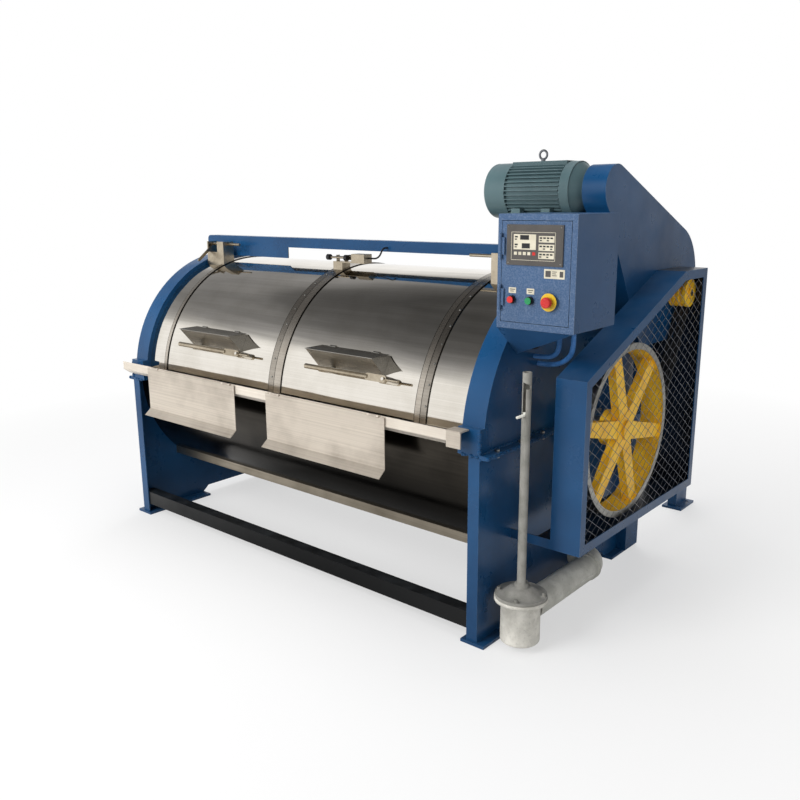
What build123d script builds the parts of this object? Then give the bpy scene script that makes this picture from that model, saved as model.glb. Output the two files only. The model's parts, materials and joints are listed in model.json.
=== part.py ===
from build123d import *
import math
import os

os.makedirs("parts", exist_ok=True)

# Horizontal side-loading industrial washing machine, in millimetres.
# X runs along the drum, Y from the front to the back, Z up from the floor.

# Driving dimensions of the frame
web_span = 2274.0  # over the outer faces of the two end webs
web_wall = 8.0
frame_depth = 1314.0  # front flange face to rear flange face
flange_wall = 6.0
leg_flange_width = 50.0
foot_thickness = 12.0
foot_width = 110.0
foot_overhang = 38.0  # past the web's outer face
front_foot_length = 400.0
rear_foot_length = 247.0
foot_toe = 9.0  # past the flange face
web_step_rise = 30.0
web_step_run = 36.0
split_height = 765.0  # joint between the lower and the upper end frame
split_flange_wall = 8.0
split_flange_reach = 36.0
rim_width = 100.0
rim_radius = 635.0
rim_corner_height = 870.0

# Driving dimensions of the drum
drum_height = 775.0
shell_radius = 612.0
shell_wall = 3.0
basket_radius = 543.0
basket_wall = 3.0
basket_end_gap = 49.0
shaft_radius = 40.0
shaft_clearance = 0.05
bearing_length = 75.0

# Driving dimensions of the drive
wheel_radius = 358.0
wheel_width = 100.0
wheel_offset = 173.0
jackshaft_setback = 1232.0
jackshaft_height = 1282.0
jackshaft_radius = 25.0
large_pulley_radius = 195.0
small_pulley_radius = 62.0
motor_setback = 637.0
motor_height = 1724.0
motor_radius = 112.0
motor_pulley_radius = 60.0
belt_width = 16.0
belt_depth = 10.0
belt_gap = 0.3

# Driving dimensions of the control box
box_width = 313.0
box_height = 400.0
box_depth = 300.0
box_setback = 93.0
box_bottom = 1241.0
box_wall = 2.0
gusset_drop = 120.0
gusset_back = 143.0
gusset_wall = 4.0

# Clearances and overruns
gap = 0.3
running_gap = 0.5
overrun = 20.0

# How far the machine reaches from the middle of the end webs and from the front flange face
right_reach = web_span / 2 + box_width
left_reach = web_span / 2 + bearing_length
stand_reach = 2085.0
board_pin_drop = 4.0
board_pin_reach = 60.0
board_wall = 2.5
board_lip_out = 36.0
front_reach = board_pin_reach + board_lip_out + board_wall / 2

# The origin lies on the floor under the middle of the whole machine
mid_x = (left_reach - right_reach) / 2
front_y = (front_reach - stand_reach) / 2
back_y = front_y + frame_depth
drum_y = front_y + frame_depth / 2
drum_z = drum_height
web_half = web_span / 2
web_inner_half = web_half - web_wall
right_web_x = mid_x + web_half
left_web_x = mid_x - web_half


def finish(builder, name):
    """Label a finished piece and write its STEP file."""
    builder.part.label = name
    export_step(builder.part, f"parts/{name}.step")


def tube(x_from, x_to, outer, inner, y, z, mode=Mode.ADD):
    """Add a round bar or tube that lies along X to the piece being built."""
    with BuildSketch(Plane.YZ.offset(x_from)) as section:
        with Locations((y, z)):
            Circle(outer)
            if inner > 0:
                Circle(inner, mode=Mode.SUBTRACT)
    extrude(section.sketch, amount=x_to - x_from, mode=mode)


def block(x_from, x_to, y_from, y_to, z_from, z_to, mode=Mode.ADD):
    """Add a rectangular block between two corners to the piece being built."""
    with BuildSketch(Plane.XY.offset(z_from)) as section:
        with Locations(((x_from + x_to) / 2, (y_from + y_to) / 2)):
            Rectangle(abs(x_to - x_from), abs(y_to - y_from))
    extrude(section.sketch, amount=z_to - z_from, mode=mode)


def side_profile(x_from, x_to, points, mode=Mode.ADD):
    """Extrude a closed outline in the YZ plane along X."""
    with BuildSketch(Plane.YZ.offset(x_from)) as section:
        with BuildLine():
            Polyline(*points, close=True)
        make_face()
    extrude(section.sketch, amount=x_to - x_from, mode=mode)


def ring_sector(x_from, x_to, inner, outer, front_angle_low, front_angle_high, mode=Mode.ADD):
    """Extrude a sector of a ring about the drum axis.

    Angles rise from the front horizontal over the top towards the back."""
    centre = (drum_y, drum_z)
    start = 180 - front_angle_high
    sweep_angle = front_angle_high - front_angle_low
    with BuildSketch(Plane.YZ.offset(x_from)) as section:
        with BuildLine():
            outer_arc = CenterArc(centre, outer, start, sweep_angle)
            inner_arc = CenterArc(centre, inner, start, sweep_angle)
            Line(outer_arc @ 0, inner_arc @ 0)
            Line(outer_arc @ 1, inner_arc @ 1)
        make_face()
    extrude(section.sketch, amount=x_to - x_from, mode=mode)


def on_drum(radius, front_angle):
    """Give the Y and Z of a point at a radius and a front angle about the drum axis."""
    turn = math.radians(front_angle)
    return drum_y - radius * math.cos(turn), drum_z + radius * math.sin(turn)


# Lower end frames: a web down to the feet, flanged front and back, with a bolted flange on top
split_bolt_radius = 6.0
split_bolt_clearance = 0.5
split_bolt_count = 8
split_bolt_margin = 90.0
split_bolt_pitch = (frame_depth - 2 * split_bolt_margin) / (split_bolt_count - 1)
split_bolt_x = web_half + split_flange_reach / 2
bolt_head_radius = 10.0
bolt_head_height = 8.0
housing_flange_radius = 130.0
housing_flange_wall = 20.0
housing_radius = 82.0
shaft_hole_margin = 6.0
shaft_hole_radius = shaft_radius + shaft_hole_margin
leg_y = front_y + 1184.0
split_bolt_places = []
for side in (-1, 1):
    for place in range(split_bolt_count):
        bolt_y = front_y + split_bolt_margin + place * split_bolt_pitch
        beside_housing = abs(bolt_y - drum_y) > housing_flange_radius + bolt_head_radius
        beside_leg = side < 0 or bolt_y < leg_y - bolt_head_radius
        if beside_housing and beside_leg:
            split_bolt_places.append((mid_x + side * split_bolt_x, bolt_y))
drain_pipe_radius = 55.0
drain_pipe_wall = 4.0
drain_pipe_height = 140.0
drain_turn_setback = 750.0
outlet_radius = drain_pipe_radius - drain_pipe_wall
lower_height = split_height - foot_thickness
rear_flange_y = back_y - flange_wall / 2
front_flange_y = front_y + flange_wall / 2

with BuildPart() as lower_frames:
    for side in (-1, 1):
        web_x = mid_x + side * web_half
        rise = foot_thickness + web_step_rise
        front_step = front_y + front_foot_length
        rear_step = back_y - rear_foot_length
        outline = [
            (front_y, foot_thickness),
            (front_step, foot_thickness),
            (front_step + web_step_run, rise),
            (rear_step - web_step_run, rise),
            (rear_step, foot_thickness),
            (back_y, foot_thickness),
            (back_y, split_height),
            (front_y, split_height),
        ]
        side_profile(web_x, web_x - side * web_wall, outline)
        for flange_y in (front_flange_y, rear_flange_y):
            block(
                web_x,
                web_x - side * leg_flange_width,
                flange_y - flange_wall / 2,
                flange_y + flange_wall / 2,
                foot_thickness,
                split_height,
            )
        block(
            web_x - side * web_wall,
            web_x + side * split_flange_reach,
            front_y,
            back_y,
            split_height - split_flange_wall,
            split_height,
        )
        with BuildSketch(Plane.XY.offset(split_height)):
            with Locations(*split_bolt_places):
                Circle(split_bolt_radius + split_bolt_clearance)
        extrude(amount=-2 * split_flange_wall, mode=Mode.SUBTRACT)
        flange_x = web_x + side * (split_flange_reach + gap)
        tube(web_x, flange_x, housing_flange_radius + running_gap, 0, drum_y, drum_z, Mode.SUBTRACT)
        tube(web_x, web_x - side * overrun, shaft_hole_radius, 0, drum_y, drum_z, Mode.SUBTRACT)
    drain_y = front_y + drain_turn_setback
    tube(right_web_x + overrun, right_web_x - overrun, outlet_radius, 0, drain_y, drain_pipe_height, Mode.SUBTRACT)
finish(lower_frames, "lower_frames")

# Upper end frames: a half-round web with a wide rim, square corners and a bolted flange below
shell_seat = shell_radius + gap
corner_height = rim_corner_height - split_height


def rim_outline(inset):
    """Draw a half-round frame's outline, drawn in by the inset, in the sketch being built."""
    with Locations((drum_y, drum_z)):
        Circle(rim_radius - inset)
    with Locations((drum_y, split_height + rim_radius)):
        Rectangle(frame_depth, 2 * rim_radius, mode=Mode.INTERSECT)
    with Locations((drum_y, split_height + (corner_height - inset) / 2)):
        Rectangle(frame_depth - 2 * inset, corner_height - inset)


with BuildPart() as upper_frames:
    for side in (-1, 1):
        web_x = mid_x + side * web_half
        inner_web_x = web_x - side * web_wall
        rim_x = web_x - side * rim_width
        with BuildSketch(Plane.YZ.offset(rim_x)):
            rim_outline(0)
        extrude(amount=side * rim_width)
        with BuildSketch(Plane.YZ.offset(rim_x + side * flange_wall)):
            rim_outline(flange_wall)
        extrude(amount=side * (rim_width - flange_wall - web_wall), mode=Mode.SUBTRACT)
        tube(inner_web_x, rim_x - side * overrun, shell_seat, 0, drum_y, drum_z, Mode.SUBTRACT)
        block(
            inner_web_x,
            web_x + side * split_flange_reach,
            front_y,
            back_y,
            split_height,
            split_height + split_flange_wall,
        )
        with BuildSketch(Plane.XY.offset(split_height)):
            with Locations(*split_bolt_places):
                Circle(split_bolt_radius + split_bolt_clearance)
        extrude(amount=2 * split_flange_wall, mode=Mode.SUBTRACT)
        flange_x = web_x + side * (split_flange_reach + gap)
        tube(web_x, flange_x, housing_flange_radius + running_gap, 0, drum_y, drum_z, Mode.SUBTRACT)
        tube(web_x, inner_web_x - side * overrun, shaft_hole_radius, 0, drum_y, drum_z, Mode.SUBTRACT)
finish(upper_frames, "upper_frames")

# Foot plates with two anchor holes each, the last one under the drive stand
anchor_radius = 9.0
anchor_pitch_share = 0.6
stand_foot_length = 181.0
stand_foot_y = front_y + stand_reach - stand_foot_length / 2
foot_x = web_half + foot_overhang - foot_width / 2
front_foot_y = front_y - foot_toe + (front_foot_length + foot_toe) / 2
rear_foot_y = back_y + foot_toe - (rear_foot_length + foot_toe) / 2
anchor_offset = foot_width / 4
foot_places = [
    (-1, front_foot_y, front_foot_length + foot_toe, -1),
    (-1, rear_foot_y, rear_foot_length + foot_toe, -1),
    (1, front_foot_y, front_foot_length + foot_toe, -1),
    (1, rear_foot_y, rear_foot_length + foot_toe, -1),
    (1, stand_foot_y, stand_foot_length, 1),
]
with BuildPart() as foot_plates:
    for side, foot_y, length, outward in foot_places:
        with BuildSketch(Plane.XY):
            with Locations((mid_x + side * foot_x, foot_y)):
                Rectangle(foot_width, length)
            pitch = length * anchor_pitch_share
            anchor_x = mid_x + side * (foot_x + outward * anchor_offset)
            with Locations((anchor_x, foot_y - pitch / 2), (anchor_x, foot_y + pitch / 2)):
                Circle(anchor_radius, mode=Mode.SUBTRACT)
        extrude(amount=foot_thickness)
finish(foot_plates, "foot_plates")

# Channel crossbars between the end webs, low at the front and at the back
crossbar_bottom = 57.0
crossbar_height = 69.0
crossbar_depth = 60.0
crossbar_wall = 6.0
with BuildPart() as crossbars:
    for bar_front, opening in ((front_y + flange_wall, 1), (back_y - flange_wall - crossbar_depth, -1)):
        block(
            mid_x - web_inner_half,
            mid_x + web_inner_half,
            bar_front,
            bar_front + crossbar_depth,
            crossbar_bottom,
            crossbar_bottom + crossbar_height,
        )
        block(
            mid_x - web_inner_half,
            mid_x + web_inner_half,
            bar_front + opening * crossbar_wall,
            bar_front + crossbar_depth + opening * crossbar_wall,
            crossbar_bottom + crossbar_wall,
            crossbar_bottom + crossbar_height - crossbar_wall,
            Mode.SUBTRACT,
        )
finish(crossbars, "crossbars")

# Square tube over the drum, with a long plate under its left end and a short one under its right
beam_setback = 545.0
beam_bottom = 1456.0
beam_size = 50.0
beam_wall = 4.0
beam_corner = 22.0
beam_y = front_y + beam_setback
left_plate_length = 667.0
right_plate_length = 130.0
plate_wall = 6.0
with BuildPart() as top_beam:
    with BuildSketch(Plane.XZ.offset(-beam_y)):
        with Locations((mid_x, beam_bottom + beam_size / 2)):
            Rectangle(web_span, beam_size)
        fillet(vertices().group_by(Axis.Y)[-1], radius=beam_corner)
    extrude(amount=-beam_size)
    block(
        mid_x - web_half + beam_wall + beam_corner,
        mid_x + web_half - beam_wall - beam_corner,
        beam_y + beam_wall,
        beam_y + beam_size - beam_wall,
        beam_bottom + beam_wall,
        beam_bottom + beam_size - beam_wall,
        Mode.SUBTRACT,
    )
    for plate_from, plate_to in (
        (left_web_x, left_web_x + left_plate_length),
        (right_web_x - right_plate_length, right_web_x),
    ):
        block(plate_from, plate_to, beam_y, beam_y + plate_wall, drum_z + shell_radius, beam_bottom)
    for post_from, post_to in (
        (left_web_x, left_web_x + plate_wall),
        (right_web_x - plate_wall, right_web_x),
    ):
        block(post_from, post_to, beam_y, beam_y + beam_size, drum_z + shell_radius, beam_bottom)
    tube(
        left_web_x - overrun,
        right_web_x + overrun,
        rim_radius + gap,
        0,
        drum_y,
        drum_z,
        Mode.SUBTRACT,
    )
finish(top_beam, "top_beam")

# Outer drum: lower shell with its sump, rear and end shells, doors between the rails
lower_shell_top_angle = 5.0
door_low_angle = 6.0
door_high_angle = 95.0
rear_shell_low_angle = 86.0
shell_inner = shell_radius - shell_wall
rail_cap_wall = 3.0
rail_cap_gap = 1.0
rail_guide_wall = 2.3
rail_guide_gap = 0.7
rail_guide_reach = 14.0
rail_side_gap = 3.0
rail_cap_overlap = 12.0
left_rail_left = mid_x - 910.0
left_rail_right = mid_x - 885.0
centre_rail_left = mid_x - 88.0
centre_rail_right = mid_x - 3.0
right_rail_left = mid_x + 785.0
right_rail_right = mid_x + 848.0
sump_length = 170.0
sump_width = 150.0
sump_bottom = 80.0
sump_wall = 3.0
sump_right = mid_x + web_inner_half
sump_x = sump_right - sump_length / 2
sump_y = front_y + drain_turn_setback

with BuildPart() as lower_shell:
    ring_sector(
        mid_x - web_inner_half,
        mid_x + web_inner_half,
        shell_inner,
        shell_radius,
        lower_shell_top_angle - 185,
        lower_shell_top_angle,
    )
    with BuildSketch(Plane.XY.offset(sump_bottom)):
        with Locations((sump_x, sump_y)):
            Rectangle(sump_length, sump_width)
    extrude(amount=drum_z - shell_radius - sump_bottom + 3 * overrun)
    with BuildSketch(Plane.XY.offset(sump_bottom + sump_wall)):
        with Locations((sump_x, sump_y)):
            Rectangle(sump_length - 2 * sump_wall, sump_width - 2 * sump_wall)
    extrude(amount=drum_z, mode=Mode.SUBTRACT)
    tube(
        mid_x - web_inner_half,
        mid_x + web_inner_half,
        shell_inner,
        0,
        drum_y,
        drum_z,
        Mode.SUBTRACT,
    )
    tube(sump_right + overrun, sump_right - overrun, outlet_radius, 0, sump_y, drain_pipe_height, Mode.SUBTRACT)
finish(lower_shell, "lower_shell")

# Bright angle strip along the lower front of the shell
ledge_top = 335.0
ledge_height = 42.0
ledge_wall = 3.0
with BuildPart() as shell_ledge:
    ledge_reach = math.sqrt(shell_radius**2 - (drum_z - ledge_top) ** 2)
    foot_reach = math.sqrt(shell_radius**2 - (drum_z - ledge_top + ledge_height) ** 2)
    ledge_front = drum_y - ledge_reach
    ledge_back = drum_y - foot_reach + overrun
    ledge_low = ledge_top - ledge_height
    side_profile(
        mid_x - web_inner_half,
        mid_x + web_inner_half,
        [
            (ledge_front, ledge_top),
            (ledge_front, ledge_low),
            (ledge_back, ledge_low),
            (ledge_back, ledge_low + ledge_wall),
            (ledge_front + ledge_wall, ledge_low + ledge_wall),
            (ledge_front + ledge_wall, ledge_top),
        ],
    )
    tube(
        mid_x - web_half,
        mid_x + web_half,
        shell_seat,
        0,
        drum_y,
        drum_z,
        Mode.SUBTRACT,
    )
finish(shell_ledge, "shell_ledge")

# Fixed upper shells: a strip at each end and a sheet behind the doors
rear_shell_outer = shell_inner - rail_guide_gap - rail_guide_wall - gap
inlet_radius = 30.0
inlet_wall = 4.0
inlet_length = 70.0
inlet_offset = -450.0
inlet_angle = 160.0
inlet_y, inlet_z = on_drum(rear_shell_outer, inlet_angle)
inlet_plane = Plane(
    origin=(mid_x + inlet_offset, inlet_y, inlet_z),
    x_dir=(1, 0, 0),
    z_dir=(0, -math.cos(math.radians(inlet_angle)), math.sin(math.radians(inlet_angle))),
)
rear_sheet_count = 3
rear_shell_high_angle = 180 - lower_shell_top_angle / 10
rear_sheet_turn = (rear_shell_high_angle - rear_shell_low_angle) / rear_sheet_count
rear_seam_turn = math.degrees(gap / rear_shell_outer)
with BuildPart() as rear_shell:
    for place in range(rear_sheet_count):
        sheet_low_angle = rear_shell_low_angle + place * rear_sheet_turn
        ring_sector(
            left_rail_left + gap,
            right_rail_right - gap,
            rear_shell_outer - shell_wall,
            rear_shell_outer,
            sheet_low_angle,
            sheet_low_angle + rear_sheet_turn - rear_seam_turn,
        )
    with BuildSketch(inlet_plane.offset(-shell_wall / 2)):
        Circle(inlet_radius)
    extrude(amount=inlet_length)
    with BuildSketch(inlet_plane.offset(-overrun)):
        Circle(inlet_radius - inlet_wall)
    extrude(amount=inlet_length + 2 * overrun, mode=Mode.SUBTRACT)
finish(rear_shell, "rear_shell")

end_shell_seam = 0.5
with BuildPart() as end_shells:
    for strip_from, strip_to in (
        (mid_x - web_inner_half, left_rail_left),
        (right_rail_right, mid_x + web_inner_half),
    ):
        ring_sector(
            strip_from,
            strip_to,
            shell_inner,
            shell_radius,
            lower_shell_top_angle + end_shell_seam,
            180 - end_shell_seam,
        )
finish(end_shells, "end_shells")

# Rails: a cap over the door's edge, a wall beside it and a guide under it
rail_low_angle = lower_shell_top_angle + end_shell_seam
rail_high_angle = 180 - end_shell_seam
cap_inner = shell_radius + rail_cap_gap
guide_outer = shell_inner - rail_guide_gap
guide_inner = guide_outer - rail_guide_wall


def rail(cap_from, cap_to, wall_from, wall_to, guide_from, guide_to):
    """Add one curved door rail to the piece being built."""
    ring_sector(cap_from, cap_to, cap_inner, cap_inner + rail_cap_wall, rail_low_angle, rail_high_angle)
    ring_sector(wall_from, wall_to, guide_inner, cap_inner, rail_low_angle, rail_high_angle)
    ring_sector(guide_from, guide_to, guide_inner, guide_outer, rail_low_angle, rail_high_angle)


with BuildPart() as door_rails:
    left_wall = left_rail_right - rail_cap_overlap
    rail(
        left_rail_left + gap,
        left_rail_right,
        left_rail_left + gap,
        left_wall,
        left_rail_left + gap,
        left_wall + rail_guide_reach,
    )
    rail(
        centre_rail_left,
        centre_rail_right,
        centre_rail_left + rail_cap_overlap,
        centre_rail_right - rail_cap_overlap,
        centre_rail_left + rail_cap_overlap - rail_guide_reach,
        centre_rail_right - rail_cap_overlap + rail_guide_reach,
    )
    right_wall = right_rail_left + rail_cap_overlap
    rail(
        right_rail_left,
        right_rail_right - gap,
        right_wall,
        right_rail_right - gap,
        right_wall - rail_guide_reach,
        right_rail_right - gap,
    )
finish(door_rails, "door_rails")

# Fasteners: bolts with nuts through the frame flanges, and dome screws along two rail caps
screw_radius = 5.0
screw_height = 2.5
screw_first_angle = 12.0
screw_last_angle = 68.0
screw_count = 8
screw_pitch = (screw_last_angle - screw_first_angle) / (screw_count - 1)
screw_lines = [centre_rail_left + rail_cap_overlap + 2 * screw_radius, right_rail_right - 2 * screw_radius]
with BuildPart() as fasteners:
    with BuildSketch(Plane.XY.offset(split_height + split_flange_wall)):
        with Locations(*split_bolt_places):
            RegularPolygon(bolt_head_radius, 6)
    extrude(amount=bolt_head_height)
    with BuildSketch(Plane.XY.offset(split_height + split_flange_wall)):
        with Locations(*split_bolt_places):
            Circle(split_bolt_radius)
    extrude(amount=-2 * split_flange_wall - bolt_head_height)
    with BuildSketch(Plane.XY.offset(split_height - split_flange_wall)):
        with Locations(*split_bolt_places):
            RegularPolygon(bolt_head_radius, 6)
    extrude(amount=-bolt_head_height)
    for line_x in screw_lines:
        for place in range(screw_count):
            angle = screw_first_angle + place * screw_pitch
            turn = math.radians(angle)
            screw_y, screw_z = on_drum(cap_inner + rail_cap_wall, angle)
            seat = Plane(
                origin=(line_x, screw_y, screw_z),
                x_dir=(1, 0, 0),
                z_dir=(0, -math.cos(turn), math.sin(turn)),
            )
            with BuildSketch(seat):
                Circle(screw_radius)
            extrude(amount=screw_height, taper=30)
finish(fasteners, "fasteners")

# Sliding doors with a detergent hopper welded on, its lid and the latch lever
hopper_width = 385.0
hopper_wall = 2.0
hopper_front_y = front_y + 9.0
hopper_front_z = 1072.0
hopper_root_high_angle = 28.7
hopper_root_low_angle = 20.3
slot_low_angle = 22.5
slot_high_angle = 27.0
slot_margin = 20.0
lid_wall = 2.0
lid_overhang = 3.0
lid_pin_radius = 4.0
lid_knuckle_radius = 7.0
lid_knuckle_length = 34.0
lid_knuckle_share = 0.33
latch_radius_out = 657.0
latch_angle = 19.0
latch_bar_radius = 11.0
latch_bar_length = 370.0
latch_block_length = 87.0
latch_block_width = 30.0
latch_block_height = 14.0
latch_pin_radius = 7.0
latch_tongue_length = 61.0
latch_tongue_radius = 6.0
keeper_length = 26.0
keeper_share = 0.67
door_places = {
    "left": (left_rail_right, centre_rail_left, mid_x - 502.0, mid_x - 284.0),
    "right": (centre_rail_right, right_rail_left, mid_x + 406.0, mid_x + 640.0),
}
lid_hinge_y, lid_hinge_z = on_drum(shell_radius + lid_knuckle_radius + gap, hopper_root_high_angle)
latch_turn = math.radians(latch_angle)
latch_out = (0, -math.cos(latch_turn), math.sin(latch_turn))

for word, (opening_left, opening_right, hopper_x, latch_x) in door_places.items():
    door_left = opening_left - rail_cap_overlap + rail_side_gap
    door_right = opening_right + rail_cap_overlap - rail_side_gap
    hopper_left = hopper_x - hopper_width / 2
    hopper_right = hopper_x + hopper_width / 2
    with BuildPart() as door:
        ring_sector(door_left, door_right, shell_inner, shell_radius, door_low_angle, door_high_angle)
        ring_sector(
            hopper_left + slot_margin,
            hopper_right - slot_margin,
            shell_inner - overrun,
            shell_radius + overrun,
            slot_low_angle,
            slot_high_angle,
            Mode.SUBTRACT,
        )
        latch_y, latch_z = on_drum(latch_radius_out, latch_angle)
        latch_plane = Plane(origin=(latch_x, latch_y, latch_z), x_dir=(1, 0, 0), z_dir=latch_out)
        post_plane = latch_plane.offset(shell_radius - latch_radius_out - shell_wall / 2)
        post_height = latch_radius_out - shell_radius + shell_wall / 2
        with BuildSketch(post_plane):
            Circle(latch_pin_radius)
        extrude(amount=post_height + latch_block_height / 2 + latch_pin_radius)
        with BuildSketch(post_plane):
            Circle(2 * latch_pin_radius)
        extrude(amount=post_height - latch_block_height / 2 - gap)
        with BuildSketch(post_plane):
            with Locations((-latch_block_length - latch_bar_length * keeper_share, 0)):
                Rectangle(keeper_length, 2 * latch_bar_radius)
        extrude(amount=post_height - latch_bar_radius - gap)
    finish(door, f"{word}_door")

    root_high = on_drum(shell_radius - overrun, hopper_root_high_angle)
    root_low = on_drum(shell_radius - overrun, hopper_root_low_angle)
    seat_high = on_drum(shell_radius, hopper_root_high_angle)
    seat_low = on_drum(shell_radius, hopper_root_low_angle)
    nose = (hopper_front_y, hopper_front_z)
    with BuildPart() as hopper:
        hopper_outline = [nose, seat_low, root_low, root_high, seat_high]
        side_profile(hopper_left, hopper_right, hopper_outline)
        face_length = math.dist(nose, seat_low)
        face_y = hopper_wall * (nose[1] - seat_low[1]) / face_length
        face_z = hopper_wall * (seat_low[0] - nose[0]) / face_length
        inside = [
            (nose[0] + face_y, nose[1] + overrun),
            (nose[0] + face_y, nose[1] + face_z),
            (seat_low[0] + face_y, seat_low[1] + face_z),
            (root_low[0] + face_y, root_low[1] + face_z),
            (root_high[0] + overrun, root_high[1] + overrun),
        ]
        side_profile(hopper_left + hopper_wall, hopper_right - hopper_wall, inside, Mode.SUBTRACT)
        tube(hopper_left - overrun, hopper_right + overrun, shell_seat, 0, drum_y, drum_z, Mode.SUBTRACT)
        for hinge_side in (-1, 1):
            knuckle_x = hopper_x + hinge_side * hopper_width * lid_knuckle_share
            tube(
                knuckle_x - lid_knuckle_length / 2,
                knuckle_x + lid_knuckle_length / 2,
                lid_pin_radius,
                0,
                lid_hinge_y,
                lid_hinge_z,
            )
            for ear_from in (knuckle_x - lid_knuckle_length / 2, knuckle_x + lid_knuckle_length / 2 - lid_pin_radius):
                tube(
                    ear_from,
                    ear_from + lid_pin_radius,
                    lid_knuckle_radius,
                    0,
                    lid_hinge_y,
                    lid_hinge_z,
                )
    finish(hopper, f"{word}_hopper")

    with BuildPart() as lid:
        lid_bottom = hopper_front_z + gap
        lid_back_y = lid_hinge_y
        block(
            hopper_left - lid_overhang,
            hopper_right + lid_overhang,
            hopper_front_y - lid_overhang,
            lid_back_y,
            lid_bottom,
            lid_bottom + lid_wall,
        )
        for hinge_side in (-1, 1):
            knuckle_x = hopper_x + hinge_side * hopper_width * lid_knuckle_share
            pocket = lid_knuckle_length / 2 + running_gap
            block(
                knuckle_x - pocket,
                knuckle_x + pocket,
                lid_hinge_y - lid_knuckle_radius - running_gap,
                lid_hinge_y + lid_knuckle_radius,
                lid_bottom - overrun,
                lid_bottom + overrun,
                Mode.SUBTRACT,
            )
            leaf_half = lid_knuckle_length / 2 - lid_pin_radius - running_gap
            tube(
                knuckle_x - leaf_half,
                knuckle_x + leaf_half,
                lid_knuckle_radius,
                0,
                lid_hinge_y,
                lid_hinge_z,
            )
            block(
                knuckle_x - leaf_half,
                knuckle_x + leaf_half,
                lid_hinge_y - 2 * lid_knuckle_radius,
                lid_hinge_y,
                lid_bottom,
                lid_bottom + lid_wall,
            )
            tube(
                knuckle_x - leaf_half - overrun,
                knuckle_x + leaf_half + overrun,
                lid_pin_radius + shaft_clearance,
                0,
                lid_hinge_y,
                lid_hinge_z,
                Mode.SUBTRACT,
            )
        tube(
            hopper_left - overrun,
            hopper_right + overrun,
            shell_seat,
            0,
            drum_y,
            drum_z,
            Mode.SUBTRACT,
        )
    finish(lid, f"{word}_hopper_lid")

    with BuildPart() as latch:
        with BuildSketch(latch_plane.offset(-latch_block_height / 2)):
            with Locations((-latch_block_length / 2, 0)):
                SlotOverall(latch_block_length + latch_block_width, latch_block_width)
            Circle(latch_pin_radius + shaft_clearance, mode=Mode.SUBTRACT)
        extrude(amount=latch_block_height)
        bar_to = latch_x - latch_block_length
        tube(bar_to - latch_bar_length, bar_to, latch_bar_radius, 0, latch_y, latch_z)
        tube(
            latch_x + latch_pin_radius + latch_tongue_radius / 2,
            latch_x + latch_block_width / 2 + latch_tongue_length,
            latch_tongue_radius,
            0,
            latch_y,
            latch_z,
        )
    finish(latch, f"{word}_latch")

# Gutter under the doors: a folded trough, wide between the end frames, narrow past the left one
gutter_front = front_y - 54.0
gutter_top = 866.0
gutter_fold = 824.0
gutter_bottom = 800.0
gutter_inset = 34.0
gutter_wall = 2.0
gutter_back_gap = 1.0
gutter_back_top = 832.0
gutter_right = mid_x + 1022.0
gutter_back = drum_y - shell_radius - gutter_back_gap
corner_inner_left = left_web_x + rim_width
board_drop = 214.0
board_lip_drop = 30.0
board_knuckle_radius = 5.0
board_pin_radius = 2.5
board_knuckle_length = 40.0
board_knuckle_inset = 60.0
board_ear_length = 10.0
board_pin_y = front_y - board_pin_reach
board_pin_z = gutter_top - board_pin_drop
board_places = {"left": (mid_x - 900.0, mid_x - 203.0), "right": (mid_x + 18.0, mid_x + 724.0)}
gutter_seam = corner_inner_left + gap


def gutter_profile(wall, back, rim_rise):
    """Give the trough's section, drawn in by a wall, up to a back face."""
    low = gutter_bottom + wall
    return [
        (gutter_front + wall, gutter_top + rim_rise),
        (gutter_front + wall, gutter_fold + wall / 2),
        (gutter_front + gutter_inset + wall / 2, low),
        (back - wall, low),
        (back - wall, gutter_back_top + rim_rise),
    ]


with BuildPart() as gutter:
    narrow_back = front_y - gap
    side_profile(left_web_x, gutter_seam + gutter_wall, gutter_profile(0, narrow_back, 0))
    side_profile(gutter_seam, gutter_right, gutter_profile(0, gutter_back, 0))
    side_profile(
        left_web_x + gutter_wall,
        gutter_seam + overrun,
        gutter_profile(gutter_wall, narrow_back, 2 * overrun),
        Mode.SUBTRACT,
    )
    side_profile(
        gutter_seam + gutter_wall,
        gutter_right - gutter_wall,
        gutter_profile(gutter_wall, gutter_back, 2 * overrun),
        Mode.SUBTRACT,
    )
    for board_left, board_right in board_places.values():
        for knuckle_x in (board_left + board_knuckle_inset, board_right - board_knuckle_inset):
            pin_half = board_knuckle_length / 2 + board_ear_length
            tube(
                knuckle_x - pin_half,
                knuckle_x + pin_half,
                board_pin_radius,
                0,
                board_pin_y,
                board_pin_z,
            )
            for ear_from in (knuckle_x - pin_half, knuckle_x + pin_half - board_ear_length + running_gap):
                ear_to = ear_from + board_ear_length - running_gap
                tube(ear_from, ear_to, board_knuckle_radius, 0, board_pin_y, board_pin_z)
                block(
                    ear_from,
                    ear_to,
                    board_pin_y,
                    gutter_front + gutter_wall,
                    board_pin_z - board_knuckle_radius,
                    board_pin_z,
                )
finish(gutter, "gutter")

# Blue bracket that carries the gutter's right end
with BuildPart() as gutter_bracket:
    bracket_right = right_web_x - leg_flange_width
    block(gutter_right + gap, bracket_right, gutter_front, front_y, gutter_bottom, gutter_top)
    block(
        gutter_right + gap + flange_wall,
        bracket_right + overrun,
        gutter_front + flange_wall,
        front_y + overrun,
        gutter_bottom - overrun,
        gutter_top - flange_wall,
        Mode.SUBTRACT,
    )
finish(gutter_bracket, "gutter_bracket")

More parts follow.
